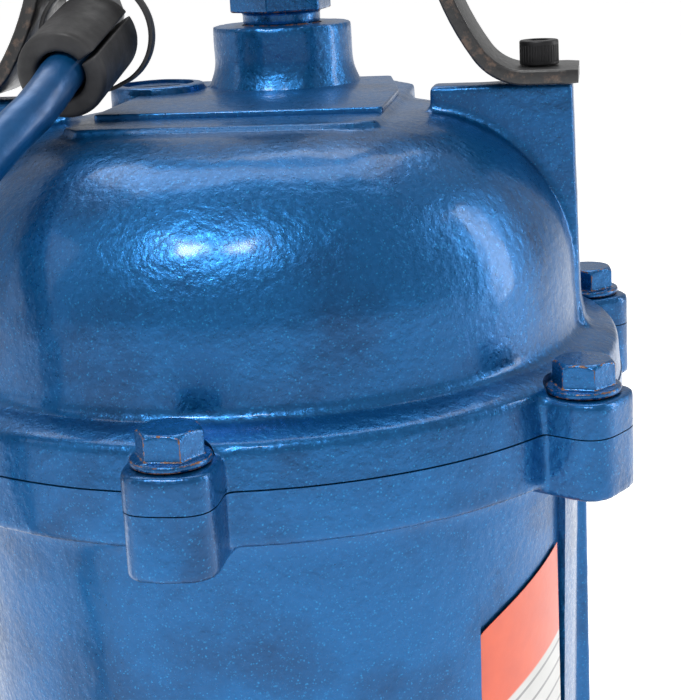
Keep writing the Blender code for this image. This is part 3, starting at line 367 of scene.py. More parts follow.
def fillet(points, radius, steps=4):
    """The open outline with its inner corners rounded; a radius for all, or one for each corner."""
    rounded = [points[0]]
    for i in range(1, len(points) - 1):
        size = radius[i - 1] if isinstance(radius, (list, tuple)) else radius
        before, here, after = (Vector(p) for p in points[i - 1:i + 2])
        back, on = before - here, after - here
        reach = min(size, 0.45 * back.length, 0.45 * on.length)
        if reach <= 0:
            rounded.append(tuple(here))
            continue
        start, end = here + back.normalized() * reach, here + on.normalized() * reach
        for k in range(steps + 1):
            t = k / steps
            rounded.append(tuple((1 - t) ** 2 * start + 2 * t * (1 - t) * here + t * t * end))
    rounded.append(points[-1])
    return rounded


def lathe(name, profile, segments=96, closed=False):
    """A profile of (radius, height) turned about Z."""
    build = bmesh.new()
    rows = []
    for radius, height in profile:
        if radius < 1e-7:
            rows.append([build.verts.new((0.0, 0.0, height))])
        else:
            rows.append([build.verts.new((radius * math.cos(math.tau * k / segments),
                                          radius * math.sin(math.tau * k / segments), height))
                         for k in range(segments)])
    pairs = list(zip(rows, rows[1:])) + ([(rows[-1], rows[0])] if closed else [])
    for upper, lower in pairs:
        for k in range(segments):
            n = (k + 1) % segments
            corners = list(dict.fromkeys((upper[k % len(upper)], upper[n % len(upper)],
                                          lower[n % len(lower)], lower[k % len(lower)])))
            if len(corners) > 2:
                build.faces.new(corners)
    return finished(name, build)


def plate(name, outline, low, high, round_edges=0.0, steps=3):
    """A flat outline raised between two heights, its edges rounded over."""
    build = bmesh.new()
    face = build.faces.new([build.verts.new((x, y, low)) for x, y in outline])
    raised = bmesh.ops.extrude_face_region(build, geom=[face])
    top = [v for v in raised["geom"] if isinstance(v, bmesh.types.BMVert)]
    bmesh.ops.translate(build, verts=top, vec=(0.0, 0.0, high - low))
    if round_edges:
        rims = [e for e in build.edges if abs(e.verts[0].co.z - e.verts[1].co.z) < 1e-7]
        bmesh.ops.bevel(build, geom=rims, offset=round_edges, segments=steps, profile=0.5, affect="EDGES")
    return finished(name, build)


def block(name, size, centre, edge=0.0, steps=3):
    build = bmesh.new()
    bmesh.ops.create_cube(build, size=1.0)
    bmesh.ops.scale(build, vec=size, verts=build.verts)
    if edge:
        bmesh.ops.bevel(build, geom=list(build.edges), offset=edge, segments=steps, profile=0.5,
                        affect="EDGES")
    bmesh.ops.translate(build, verts=build.verts, vec=centre)
    return finished(name, build)


def rod(name, radius, low, high, at=(0.0, 0.0), segments=32):
    made = lathe(name, [(0.0, high), (radius, high), (radius, low), (0.0, low)], segments)
    return moved(made, Matrix.Translation((at[0], at[1], 0.0)))


def moved(obj, matrix):
    obj.data.transform(matrix)
    return obj


def upright(obj):
    """Turns a plate made in XY so that its outline stands in XZ and its thickness runs along Y."""
    return moved(obj, Matrix(((1, 0, 0, 0), (0, 0, -1, 0), (0, 1, 0, 0), (0, 0, 0, 1))))


def joined(name, *parts):
    """The parts as one object of loose shells."""
    build = bmesh.new()
    for part in parts:
        build.from_mesh(part.data)
        bpy.data.objects.remove(part, do_unlink=True)
    return finished(name, build)


def applied(obj, *kinds):
    """Adds modifiers, each a type with its settings, and applies them."""
    for kind, settings in kinds:
        modifier = obj.modifiers.new(kind.lower(), kind)
        for key, value in settings.items():
            setattr(modifier, key, value)
    graph = bpy.context.evaluated_depsgraph_get()
    mesh = bpy.data.meshes.new_from_object(obj.evaluated_get(graph))
    obj.modifiers.clear()
    obj.data = mesh
    return obj


def softened(obj, voxel, smooth):
    """Rounds every edge and joint, by growing the surface again from small cubes."""
    return applied(obj, ("REMESH", {"mode": "VOXEL", "voxel_size": voxel}),
                   ("SMOOTH", {"factor": 0.5, "iterations": smooth}))


def merged(obj, operation, *tools):
    for tool in tools:
        applied(obj, ("BOOLEAN", {"operation": operation, "solver": "MANIFOLD", "object": tool}))
        bpy.data.objects.remove(tool, do_unlink=True)
    return obj


def cast(name, parts, voxel, smooth, swell=0.0):
    """One rough-cast body: the parts grown together, their corners and joins rounded, and the
    surface left slightly uneven."""
    body = softened(joined(name, *parts), voxel, smooth)
    if swell:
        places = [vertex.co.copy() for vertex in body.data.vertices]
        normals = [Vector(normal.vector) for normal in body.data.vertex_normals]
        for vertex, place, normal in zip(body.data.vertices, places, normals):
            vertex.co = place + normal * swell * noise.noise(place * 160.0)
    return body


def smooth_shaded(obj, angle=38.0):
    obj.data.shade_smooth()
    obj.data.set_sharp_from_angle(angle=math.radians(angle))
    return obj


def show(obj, finish, slot, *nodes, body=BODY, angle=38.0):
    """Puts a finished piece in the frame: its material, its body and the nodes it stands for. The slot
    argument is not used.
    """
    if obj.type == "MESH":
        smooth_shaded(obj, angle)
    obj.data.materials.clear()
    obj.data.materials.append(finish)
    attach(obj, body)
    if nodes:
        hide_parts(*nodes)
    return obj


def thinned(obj, share):
    return applied(obj, ("DECIMATE", {"ratio": share}))


def bearing_at(angle, radius):
    """A place on a circle about the shaft; angles run from the front towards +X, in degrees."""
    a = math.radians(angle)
    return radius * math.sin(a), -radius * math.cos(a)


def around(angle, circle, z=0.0):
    """Carries a shape made with its outward side along +X to its bearing on a circle."""
    x, y = bearing_at(angle, circle)
    return Matrix.Translation((x, y, z)) @ Matrix.Rotation(math.radians(angle - 90), 4, "Z")


def arc(centre, radius, start, end, steps):
    angles = [math.radians(start + (end - start) * i / steps) for i in range(steps + 1)]
    return [(centre[0] + radius * math.cos(a), centre[1] + radius * math.sin(a)) for a in angles]


def lug(name, reach, half, low, high, inwards):
    """A bolt lug, square-fronted with well rounded corners, along +X from its bolt's centre."""
    outline = []
    for i in range(25):
        t = math.radians(-90 + 180 * i / 24)
        outline.append((reach * abs(math.cos(t)) ** 0.62, half * math.copysign(abs(math.sin(t)) ** 0.62, t)))
    return plate(name, [(-inwards, -half), *outline, (-inwards, half)], low, high, 0.0008, 2)


def lugs(name, reach, low, high, inwards, angles, circle, z=0.0):
    """Equal lugs at their bearings on a circle."""
    return [moved(lug(f"{name}_{a}", reach, reach, low, high, inwards), around(a, circle, z)) for a in angles]


def bolt_holes(radius, low, high, angles, circle, segments=20):
    """Rods that cut a circle of holes."""
    return [rod("bolt_hole", radius, low, high, bearing_at(a, circle), segments) for a in angles]


def skin(build, rings, closed=False):
    """Joins each ring of points to the next. The last is joined to the first, or both ends are capped."""
    count = len(rings[0])
    for first, second in zip(rings, rings[1:] + (rings[:1] if closed else [])):
        for k in range(count):
            n = (k + 1) % count
            build.faces.new((first[k], first[n], second[n], second[k]))
    if not closed:
        build.faces.new(rings[0][::-1])
        build.faces.new(rings[-1])


def hexagon(name, across_flats, low, high, turn=0.0, chamfer=0.94):
    """A hexagon head with its corners turned off by a cone, on Z."""
    corner_r = across_flats / math.sqrt(3)
    head = lathe(name, [(0.0, high), (corner_r, high), (corner_r, low), (0.0, low)], 6)
    moved(head, Matrix.Rotation(turn, 4, "Z"))
    flat_r = across_flats / 2
    wide_r, over, under = flat_r * 1.22, high + 0.0001, low - 0.001
    cone = lathe(name + "_cone", [(0.0, over), (flat_r * chamfer, over), (wide_r, high - flat_r * 0.17),
                                  (wide_r, under), (0.0, under)], 72)
    return merged(head, "INTERSECT", cone)


# ---- cap ----

def shoulder(flat_r, wall_r, top, spring, steps):
    points = []
    for i in range(steps + 1):
        a = math.pi / 2 * (1 - i / steps)
        points.append((flat_r + (wall_r - flat_r) * math.cos(a), spring + (top - spring) * math.sin(a)))
    return points


def up(profile, height):
    return [(r, h + height) for r, h in profile]


def rounded_box_outline(corners, radius, steps=5):
    closed = fillet([*corners, corners[0], corners[1]], radius, steps)
    return closed[1:-1]


def make_cap(paint):
    wall = fillet([(DOME_R, DOME_SPRING), (0.0847, 0.0128), (0.0900, 0.0118), (0.0950, FLANGE_UP),
                   (FLANGE_R, -0.004)], [0.0055, 0.002, 0.0012], 5)
    crown = shoulder(DOME_FLAT_R, DOME_R, DOME_TOP, DOME_SPRING, 28)[:-1]
    outside = [(0.0, DOME_TOP), *crown, *wall, (0.0, -0.004)]
    parts = [lathe("dome", up(outside, PARTING), 144)]
    for side in (-1, 1):
        outline = [(side * x, PARTING + h) for x, h in (
            (0.040, 0.045), (EAR_IN, 0.060), (EAR_IN, EAR_TOP), (EAR_OUT, EAR_TOP), (EAR_OUT + 0.0010, 0.020),
            (EAR_OUT + 0.0022, 0.014), (EAR_OUT + 0.0060, 0.0095), (EAR_OUT + 0.0060, 0.004), (0.070, 0.004))]
        ear = plate(f"ear_{side}", outline, -EAR_HALF, EAR_HALF, 0.0004, 1)
        parts.append(upright(ear))
    parts += lugs("cap_lug", LUG_R, -0.004, LUG_UP, 0.018, CAP_ANGLES, BOLT_CIRCLE, PARTING)
    boss_foot_r = GLAND_BOSS_R + 0.003
    boss = fillet([(GLAND_BOSS_R, GLAND_BOSS_TOP), (GLAND_BOSS_R, 0.0775), (boss_foot_r, PAD_TOP - 0.002),
                   (boss_foot_r, 0.045)], 0.003)
    parts.append(moved(lathe("gland_boss", up([(0.0, GLAND_BOSS_TOP), *boss, (0.0, 0.045)], PARTING), 72),
                       Matrix.Translation((0.0, GLAND_Y, 0.0))))
    parts.append(rod("port_boss", PORT_R, PARTING + 0.05, PARTING + 0.0750, (PORT_X, PORT_Y), 48))
    lower = [(-0.041, -0.030), (-0.036, -0.036), (0.033, -0.036), (0.038, -0.031),
             (0.038, 0.050), (0.028, 0.066), (-0.030, 0.066), (-0.041, 0.050)]
    parts.append(plate("step_pad", lower, PARTING + 0.055, PARTING + STEP_TOP))
    cap = cast("cap_casting", parts, 0.00085, 7, 0.00010)
    upper = [(-0.037, -0.018), (0.0375, -0.018), (0.0365, 0.024), (0.030, 0.060), (-0.030, 0.060),
             (-0.037, 0.045)]
    pad = plate("machined_pad", rounded_box_outline(upper, 0.0015), PARTING + 0.066, PARTING + PAD_TOP,
                0.0005, 3)
    merged(cap, "UNION", pad)
    roof = DOME_TOP - 0.006
    inside = [(0.0, roof), *shoulder(0.042, 0.0775, roof, 0.026, 8), (0.0785, 0.010), (0.0785, -0.010),
              (0.0, -0.010)]
    cuts = [block("seam_plane", (0.3, 0.3, 0.02), (0.0, 0.0, PARTING + HALF_SEAM - 0.01)),
            lathe("cap_inside", up(inside, PARTING), 72),
            rod("gland_bore", 0.0116, PARTING + 0.0705, PARTING + 0.1, (0.0, GLAND_Y), 48),
            rod("cable_bore", 0.0070, PARTING + 0.030, PARTING + 0.08, (0.0, GLAND_Y), 32),
            rod("port_recess", 0.0104, PARTING + 0.0695, PARTING + 0.08, (PORT_X, PORT_Y), 48)]
    for angle in CAP_ANGLES:
        at = bearing_at(angle, BOLT_CIRCLE)
        cuts.append(rod("spot_face", 0.0096, PARTING + LUG_UP, PARTING + 0.03, at, 48))
        cuts.append(rod("bolt_hole", BOLT_HOLE_R, PARTING - 0.02, PARTING + 0.03, at, 24))
    ear_top = PARTING + EAR_TOP
    cuts += [rod("screw_hole", 0.0033, ear_top - 0.016, ear_top + 0.01, (side * SCREW_X, 0.0), 24)
             for side in (-1, 1)]
    merged(cap, "DIFFERENCE", *cuts)
    cap.name = "cap_casting"
    show(cap, paint, "blue_casting_paint", "top_cap")


def wear_from_edges(obj, reach):
    """Marks the points near sharp edges, where paint chips first."""
    build = bmesh.new()
    build.from_mesh(obj.data)
    sharp = [v.co.copy() for v in build.verts
             if any(len(e.link_faces) == 2 and e.calc_face_angle(0.0) > 0.45 for e in v.link_edges)]
    build.free()
    tree = KDTree(max(len(sharp), 1))
    for i, co in enumerate(sharp):
        tree.insert(co, i)
    tree.balance()
    wear_and_lit_edge = obj.data.attributes.new("wear_and_lit_edge", "FLOAT", "POINT")
    for vertex, value in zip(obj.data.vertices, wear_and_lit_edge.data):
        near = tree.find(vertex.co)[2] if sharp else reach
        value.value = max(0.0, 1.0 - near / reach)


def make_cap_bolts(paint):
    turns = (0, 50, 100, 130, 200, 250)
    for i, angle in enumerate(CAP_ANGLES):
        z = PARTING + LUG_UP + GAP
        rim = fillet([(0.0060, 0.0017), (0.0089, 0.0016), (0.0089, 0.0), (0.006, 0.0)], [0.0006, 0.0003], 3)
        washer = lathe("washer", [(0.0, 0.0017), *rim, (0.0, 0.0)], 64)
        head = hexagon("head", 0.0132, 0.0012, 0.0077, math.radians(turns[i]))
        shank = rod("shank", 0.0040, -0.0190, 0.0012, segments=24)
        bolt = merged(washer, "UNION", head, shank)
        softened(bolt, 0.00032, 3)
        wear_from_edges(bolt, 0.0009)
        x, y = bearing_at(angle, BOLT_CIRCLE)
        moved(bolt, Matrix.Translation((x, y, z)))
        thinned(bolt, 0.5)
        bolt.name = f"flange_bolt_{i + 1}"
        show(bolt, paint, "blue_bolt_paint", f"cap_bolt_{i + 1}", angle=50.0)


# ---- strap, screws, gland and port ----

def strap_line():
    foot = EAR_TOP + GAP + STRAP_THICK / 2
    points = [(0.086, foot), (0.083, foot), (0.080, foot), (0.0765, foot), (0.073, foot)]
    for radius, first, last, steps in ((0.014, 0, 55, 14), (0.070, 55, 90, 12)):
        x, h = points[-1]
        for i in range(1, steps + 1):
            a, a0 = math.radians(first + (last - first) * i / steps), math.radians(first)
            points.append((x - radius * (math.sin(a) - math.sin(a0)),
                           h + radius * (math.cos(a0) - math.cos(a))))
    leg = points[-1][0]
    points += [(leg, points[-1][1] + (0.150 - points[-1][1]) * i / 4) for i in range(1, 5)]
    points += [(leg - 0.028 * (1 - math.cos(math.radians(a))), 0.150 + 0.028 * math.sin(math.radians(a)))
               for a in range(8, 91, 8)]
    points.append((leg - 0.028, 0.178))
    return points


def make_strap(paint):
    """The bent flat bar: a rounded cross-section carried along its bends."""
    right = strap_line()
    line = [Vector(p) for p in right + [(-x, h) for x, h in reversed(right)]]
    half_w, half_t, edge = STRAP_WIDTH / 2, STRAP_THICK / 2, 0.0007
    corner = [(1 - math.cos(math.radians(a)), 1 - math.sin(math.radians(a))) for a in (0, 30, 60, 90)]
    section = []
    for sx, sz, order in ((1, 1, 1), (-1, 1, -1), (-1, -1, 1), (1, -1, -1)):
        section += [(sx * (half_w - edge * c[0]), sz * (half_t - edge * c[1])) for c in corner[::order]]
    build = bmesh.new()
    rings = []
    for i, here in enumerate(line):
        along = (line[min(i + 1, len(line) - 1)] - line[max(i - 1, 0)]).normalized()
        side = Vector((-along.y, along.x))
        slim = 0.93 if i in (0, len(line) - 1) else 1.0
        ring = []
        for across, out in section:
            ring.append(build.verts.new((here.x + side.x * out * slim, across * slim,
                                         PARTING + here.y + side.y * out * slim)))
        rings.append(ring)
    skin(build, rings)
    strap = finished("lifting_strap", build)
    holes = [rod("strap_hole", 0.0034, PARTING + 0.07, PARTING + 0.09, (s * SCREW_X, 0.0), 24) for s in (-1,
                                                                                                         1)]
    merged(strap, "DIFFERENCE", *holes)
    strap.name = "lifting_strap"
    applied(strap, ("SUBSURF", {"levels": 1, "subdivision_type": "SIMPLE"}))
    # Painted highlight: marks the strap's edge faces, which strap_paint colours a lighter brown.
    wear_and_lit_edge = strap.data.attributes.new("wear_and_lit_edge", "FLOAT", "POINT")
    for vertex, value in zip(strap.data.vertices, wear_and_lit_edge.data):
        value.value = 0.46 * max(0.0, 1.0 - (half_w - abs(vertex.co.y)) / 0.0016)
    show(strap, paint, "black_strap_paint", "handle_strap")


def make_handle_screws(finish):
    seat = PARTING + EAR_TOP + GAP + STRAP_THICK + GAP
    for side, label in ((-1, "left"), (1, "right")):
        rim = fillet([(0.0, 0.0062), (0.0050, 0.0062), (0.0050, 0.0), (0.0030, 0.0), (0.0030, -0.017),
                      (0.0, -0.017)], [0.0006, 0.0003, 0.0, 0.0004], 4)
        screw = lathe(f"socket_screw_{label}", rim, 72)
        for k in range(36):
            groove = rod("knurl", 0.00028, 0.0008, 0.0050, bearing_at(10 * k, 0.00508), 6)
            merged(screw, "DIFFERENCE", groove)
        socket = lathe("socket", [(0.0, 0.0090), (0.0029, 0.0090), (0.0029, 0.0030), (0.0, 0.0024)], 6)
        merged(screw, "DIFFERENCE", socket)
        moved(screw, Matrix.Translation((side * SCREW_X, 0.0, seat)))
        show(screw, finish, "black_screw_oxide", f"handle_screw_{label}")


def make_gland(paint, rubber):
    at = Matrix.Translation((0.0, GLAND_Y, PARTING))
    neck = fillet([(0.0, NUT_BASE + 0.002), (0.0112, NUT_BASE + 0.002), (0.0112, 0.0905), (0.0106, 0.0900),
                   (0.0112, 0.0895), (0.0112, 0.0815), (0.0, 0.0815)], [0.0, 0.0004, 0.0004, 0.0004, 0.0004],
                  3)
    nut = merged(lathe("cable_gland", neck, 72), "UNION",
                 hexagon("gland_hex", 0.0262, NUT_BASE, NUT_TOP, math.radians(26), 0.95))
    merged(nut, "DIFFERENCE", rod("gland_way", 0.0057, 0.07, 0.12, segments=48))
    softened(nut, 0.00045, 3)
    wear_from_edges(nut, 0.0008)
    thinned(moved(nut, at), 0.5)
    nut.name = "cable_gland"
    show(nut, paint, "blue_bolt_paint", "gland_nut", angle=50.0)
    sleeve = [(0.0057, RELIEF_TOP - GAP), (0.0062, RELIEF_TOP - 2 * GAP)]
    rings = 6
    for k in range(rings):
        low, step = RELIEF_TOP - 0.0030 - 0.0036 * k, 0.0036
        wide = 0.0064 + 0.0026 * (k + 1) / rings
        sleeve += [(wide - 0.0005, low), (wide - 0.0005, low - step * 0.35), (wide, low - step * 0.5),
                   (wide, low - step * 0.9)]
    sleeve += [(0.0094, NUT_TOP + 0.0045), (0.0094, NUT_TOP + GAP), (0.0057, NUT_TOP + GAP)]
    relief = lathe("cable_strain_relief", sleeve, 48, closed=True)
    moved(relief, at)
    show(relief, rubber, "black_rubber", "strain_relief", angle=50.0)
    return relief


def make_port(paint):
    """The slotted vent plug in its round boss."""
    profile = fillet([(0.0, 0.0742), (0.0090, 0.0742), (0.0100, 0.0730), (0.0100, 0.0698), (0.0, 0.0698)],
                     [0.0008, 0.0006, 0.0], 4)
    plug = lathe("port_plug", profile, 64)
    merged(plug, "DIFFERENCE", block("slot", (0.013, 0.0022, 0.006), (0.0, 0.0, 0.0752), 0.0003, 2))
    moved(plug, Matrix.Translation((PORT_X, PORT_Y, PARTING)) @ Matrix.Rotation(math.radians(20), 4, "Z"))
    show(plug, paint, "blue_casting_paint", "vent_plug")


# ---- sleeve and tie on the cable ----

def make_sleeve(rubber, nylon):
    turn = Matrix.Translation(SLEEVE_CENTRE) @ SLEEVE_AXIS.to_track_quat("Z", "Y").to_matrix().to_4x4()
    half = SLEEVE_LENGTH / 2
    ring = [(SLEEVE_R, half), (SLEEVE_R, -half), (SLEEVE_BORE, -half), (SLEEVE_BORE, half)]
    section = fillet([ring[0], *ring[1:], ring[0], ring[1]], [0.0016, 0.0012, 0.0012, 0.0016], 4)[1:-1]
    sleeve = lathe("split_sleeve", section, 96, closed=True)
    slit = block("slit", (0.016, 0.0011, 0.04), (0.0125, 0.0, 0.0))
    moved(slit, Matrix.Rotation(math.radians(150), 4, "Z"))
    merged(sleeve, "DIFFERENCE", slit)
    softened(sleeve, 0.00035, 4)
    thinned(moved(sleeve, turn), 0.4)
    sleeve.name = "split_sleeve"
    show(sleeve, rubber, "black_rubber", "cable_sleeve", angle=60.0)
    centre = SLEEVE_CENTRE + SLEEVE_AXIS * 0.0125
    build = bmesh.new()
    rows = []
    steps, half_w, half_t = 96, 0.0017, 0.0005
    corners = ((-half_w, -half_t), (half_w, -half_t), (half_w, half_t), (-half_w, half_t))
    for i in range(steps):
        a = math.tau * i / steps
        middle = SLEEVE_R + 0.0024 + TIE_SLACK * max(0.0, math.cos(a - math.radians(30)))
        out = Vector((math.cos(a), 0.0, math.sin(a)))
        rows.append([build.verts.new(centre + out * (middle + t) + Vector((0.0, w, 0.0))) for w,
                     t in corners])
    skin(build, rows, closed=True)
    tie = finished("sleeve_tie", build)
    head_at = (centre.x + 0.0105, centre.y, centre.z + 0.0135)
    head = block("tie_head", (0.0044, 0.0052, 0.0040), head_at, 0.0006)
    merged(tie, "UNION", head)
    tie.name = "sleeve_tie"
    applied(tie, ("BEVEL", {"width": 0.00018, "segments": 2, "limit_method": "ANGLE"}))
    show(tie, nylon, "black_nylon", "cable_tie")


# ---- motor housing and label ----

def wall_radius(z):
    """The housing's outer radius between its two flanges, where it tapers."""
    top, foot = PARTING - 0.0165, HOUSING_FOOT + 0.026
    return WALL_R_FOOT + (WALL_R_TOP - WALL_R_FOOT) * (z - foot) / (top - foot)


def sector(angles, inner, outer, steps=10):
    first, last = angles
    spread = [first + (last - first) * i / steps for i in range(steps + 1)]
    return [bearing_at(a, outer) for a in spread] + [bearing_at(a, inner) for a in reversed(spread)]


def make_housing(paint):
    foot = HOUSING_FOOT
    under = PARTING - FLANGE_DOWN
    outside = fillet([(FLANGE_R, PARTING + 0.004), (FLANGE_R, under), (0.0866, under - 0.0006),
                      (WALL_R_TOP, PARTING - 0.0185), (WALL_R_FOOT, foot + 0.026),
                      (WALL_R_FOOT, foot + 0.0105), (JOINT_R, foot + 0.0095), (JOINT_R, foot)],
                     [0.0014, 0.003, 0.003, 0.004, 0.004, 0.0014], 5)
    parts = [lathe("housing", [(0.0, PARTING + 0.004), *outside, (0.0, foot)], 144)]
    parts += lugs("lug", LUG_R, -LUG_DOWN, 0.004, 0.016, CAP_ANGLES, BOLT_CIRCLE, PARTING)
    for angle in RIB_ANGLES:
        section = [(-0.006, -0.0035), (0.0030, -0.0020), (0.0030, 0.0020), (-0.006, 0.0035)]
        rib = plate(f"rib_{angle}", section, foot + 0.012, PARTING - 0.012)
        parts.append(moved(rib, around(angle, 0.084)))
    housing = cast("housing_casting", parts, 0.00095, 6, 0.00010)
    foot_r, top_r = wall_radius(PANEL_FOOT) - PANEL_DEPTH, wall_radius(PANEL_TOP) - PANEL_DEPTH
    panel = lathe("panel", [(0.095, PANEL_TOP), (0.095, PANEL_FOOT), (foot_r, PANEL_FOOT),
                            (top_r, PANEL_TOP)],
                  144, closed=True)
    merged(panel, "INTERSECT", plate("panel_sector", sector(PANEL_ANGLES, 0.070, 0.099), 0.10, PARTING))
    seat = [(0.0137, foot - 0.001), (0.0137, 0.1458), (0.0263, 0.1458), (0.0263, 0.1620), (0.0330, 0.1620),
            (0.0330, 0.1500), (0.0750, 0.1500), (0.0750, 0.3000), (0.0780, 0.3000), (0.0780, PARTING + 0.001)]
    cuts = [panel, block("seam_plane", (0.3, 0.3, 0.02), (0.0, 0.0, PARTING - HALF_SEAM + 0.01)),
            lathe("housing_inside", [(0.0, PARTING + 0.001), *reversed(seat), (0.0, foot - 0.001)], 96)]
    cuts += bolt_holes(BOLT_HOLE_R, PARTING - 0.0125, PARTING + 0.01, CAP_ANGLES, BOLT_CIRCLE, 24)
    cuts += bolt_holes(JOINT_HOLE_R, foot - 0.02, foot + 0.03, JOINT_ANGLES, JOINT_CIRCLE, 24)
    merged(housing, "DIFFERENCE", *cuts)
    housing.name = "housing_casting"
    show(housing, paint, "blue_casting_paint", "motor_housing")


def label_film(name):
    """A plain printed film: an orange band above blank grey-white, with thin plain rules."""
    film = Finish(name, Coat_Weight=0.6, Coat_Roughness=0.12, Roughness=0.35)
    split = film.add("ShaderNodeSeparateXYZ")
    film.link(film.attribute_vector("label_place"), split.inputs[0])
    height = split.outputs["Y"]
    orange = film.ramp(film.noise(90.0, 3.0), (0.3, (0.56, 0.050, 0.004)), (0.7, (0.66, 0.070, 0.007)))
    white = film.ramp(film.noise(70.0, 4.0), (0.3, (0.46, 0.46, 0.45)), (0.7, (0.58, 0.58, 0.57)))
    band = film.ramp(height, (0.0, 0.0), (0.7300, 0.0), (0.7310, 1.0))
    wave = film.math("FRACT", film.math("MULTIPLY", height, 17.0))
    rules = film.ramp(wave, (0.82, 0.0), (0.84, 1.0))
    ruled = film.mix(film.math("MULTIPLY", rules, 0.72), white, (0.10, 0.10, 0.11))
    film.feed("Base Color", film.mix(band, ruled, orange))
    film.bump((film.noise(420.0, 2.0), 0.00005))
    return film.material


def make_label(film):
    """The blank film in the housing's panel: its top edge climbs to the right, following the wall."""
    low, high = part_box("rating_plate")[0].z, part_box("rating_plate")[1].z
    columns, rows, radius, thick = 24, 24, 0.08222, 0.00016
    build = bmesh.new()
    layer = build.verts.layers.float_vector.new("label_place")
    points = {}
    for deep in (0, 1):
        for i in range(columns + 1):
            for k in range(rows + 1):
                across, along = i / columns, k / rows
                angle = PLATE_ANGLES[0] - 1.6 + (PLATE_ANGLES[1] - PLATE_ANGLES[0] + 1.6) * across
                top = high - 0.0118 + 0.0118 * across ** 0.8
                z = low + (top - low) * along
                x, y = bearing_at(angle, radius - thick * (1 - deep))
                vertex = build.verts.new((x, y, z))
                vertex[layer] = (across, (z - top) / (high - low) + 1.0, 0.0)
                points[deep, i, k] = vertex
    for i in range(columns):
        for k in range(rows):
            for deep in (0, 1):
                build.faces.new((points[deep, i, k], points[deep, i + 1, k],
                                 points[deep, i + 1, k + 1], points[deep, i, k + 1]))
    border = ([(i, 0) for i in range(columns)] + [(columns, k) for k in range(rows)]
              + [(i, rows) for i in range(columns, 0, -1)] + [(0, k) for k in range(rows, 0, -1)])
    for (i, k), (i2, k2) in zip(border, border[1:] + border[:1]):
        build.faces.new((points[0, i, k], points[0, i2, k2], points[1, i2, k2], points[1, i, k]))
    label = finished("blank_label", build)
    show(label, film, "blank_label", "rating_plate")


# ---- lower castings ----

def make_chamber(paint):
    low, high = CHAMBER_LOW, CHAMBER_TOP
    outside = fillet([(JOINT_R, high), (JOINT_R, 0.1300), (0.0815, 0.1270), (0.0815, 0.0962),
                      (JOINT_R, 0.0945), (JOINT_R, low)], [0.0014, 0.004, 0.004, 0.0014], 5)
    parts = [lathe("chamber", [(0.0, high), *outside, (0.0, low)], 120)]
    turn = Matrix.Translation((0.0, 0.0, 0.1125)) @ Matrix.Rotation(math.radians(90), 4, "X")
    parts.append(moved(rod("oil_boss", 0.0110, 0.0700, 0.0870, segments=48), turn))
    chamber = cast("oil_chamber_casting", parts, 0.0012, 5, 0.00012)
    inside = [(0.0, high + 0.001), (0.0720, high + 0.001), (0.0720, 0.0930), (0.0270, 0.0930),
              (0.0270, 0.0970),
              (0.0203, 0.0970), (0.0203, 0.0880), (0.0136, 0.0880), (0.0136, low - 0.001), (0.0, low - 0.001)]
    cuts = [lathe("chamber_inside", inside, 72),
            moved(rod("oil_hole", 0.0058, 0.065, 0.09, segments=32), turn)]
    cuts += bolt_holes(JOINT_HOLE_R, 0.12, 0.15, JOINT_ANGLES, JOINT_CIRCLE)
    cuts += bolt_holes(JOINT_HOLE_R, 0.080, 0.10, VOLUTE_ANGLES, JOINT_CIRCLE)
    merged(chamber, "DIFFERENCE", *cuts)
    chamber.name = "oil_chamber_casting"
    show(thinned(chamber, 0.6), paint, "blue_casting_paint", "oil_chamber")


def oval(reach, hub, tip):
    """A two-bolt flange outline, tall along its second axis."""
    lean = math.degrees(math.acos((hub - tip) / reach))
    top = arc((0.0, reach), tip, 90 - lean, 90 + lean, 10)
    left = arc((0.0, 0.0), hub, 90 + lean, 270 - lean, 12)
    bottom = arc((0.0, -reach), tip, 270 - lean, 270 + lean, 10)
    right = arc((0.0, 0.0), hub, -90 + lean, 90 - lean, 12)
    return top + left[1:-1] + bottom + right[1:-1]


def along_x(obj, x=0.0):
    """Turns a piece made about Z so that its axis runs along +X through the outlet's centre."""
    return moved(obj, Matrix.Translation((x, OUTLET_Y, OUTLET_Z)) @ Matrix.Rotation(math.pi / 2, 4, "Y"))


def flange_plate(name, low, high):
    made = plate(name, oval(OUTLET_BOLT_REACH, 0.027, 0.0095), 0.0, high - low)
    facing_x = Matrix(((0, 0, 1, 0), (1, 0, 0, 0), (0, 1, 0, 0), (0, 0, 0, 1)))
    return moved(made, Matrix.Translation((low, OUTLET_Y, OUTLET_Z)) @ facing_x)


def flange_holes(low, high):
    turn = Matrix.Rotation(math.pi / 2, 4, "Y")
    return [moved(rod("flange_hole", BOLT_HOLE_R, low, high, segments=24),
                  Matrix.Translation((0.0, OUTLET_Y, OUTLET_Z + side * OUTLET_BOLT_REACH)) @ turn)
            for side in (-1, 1)]


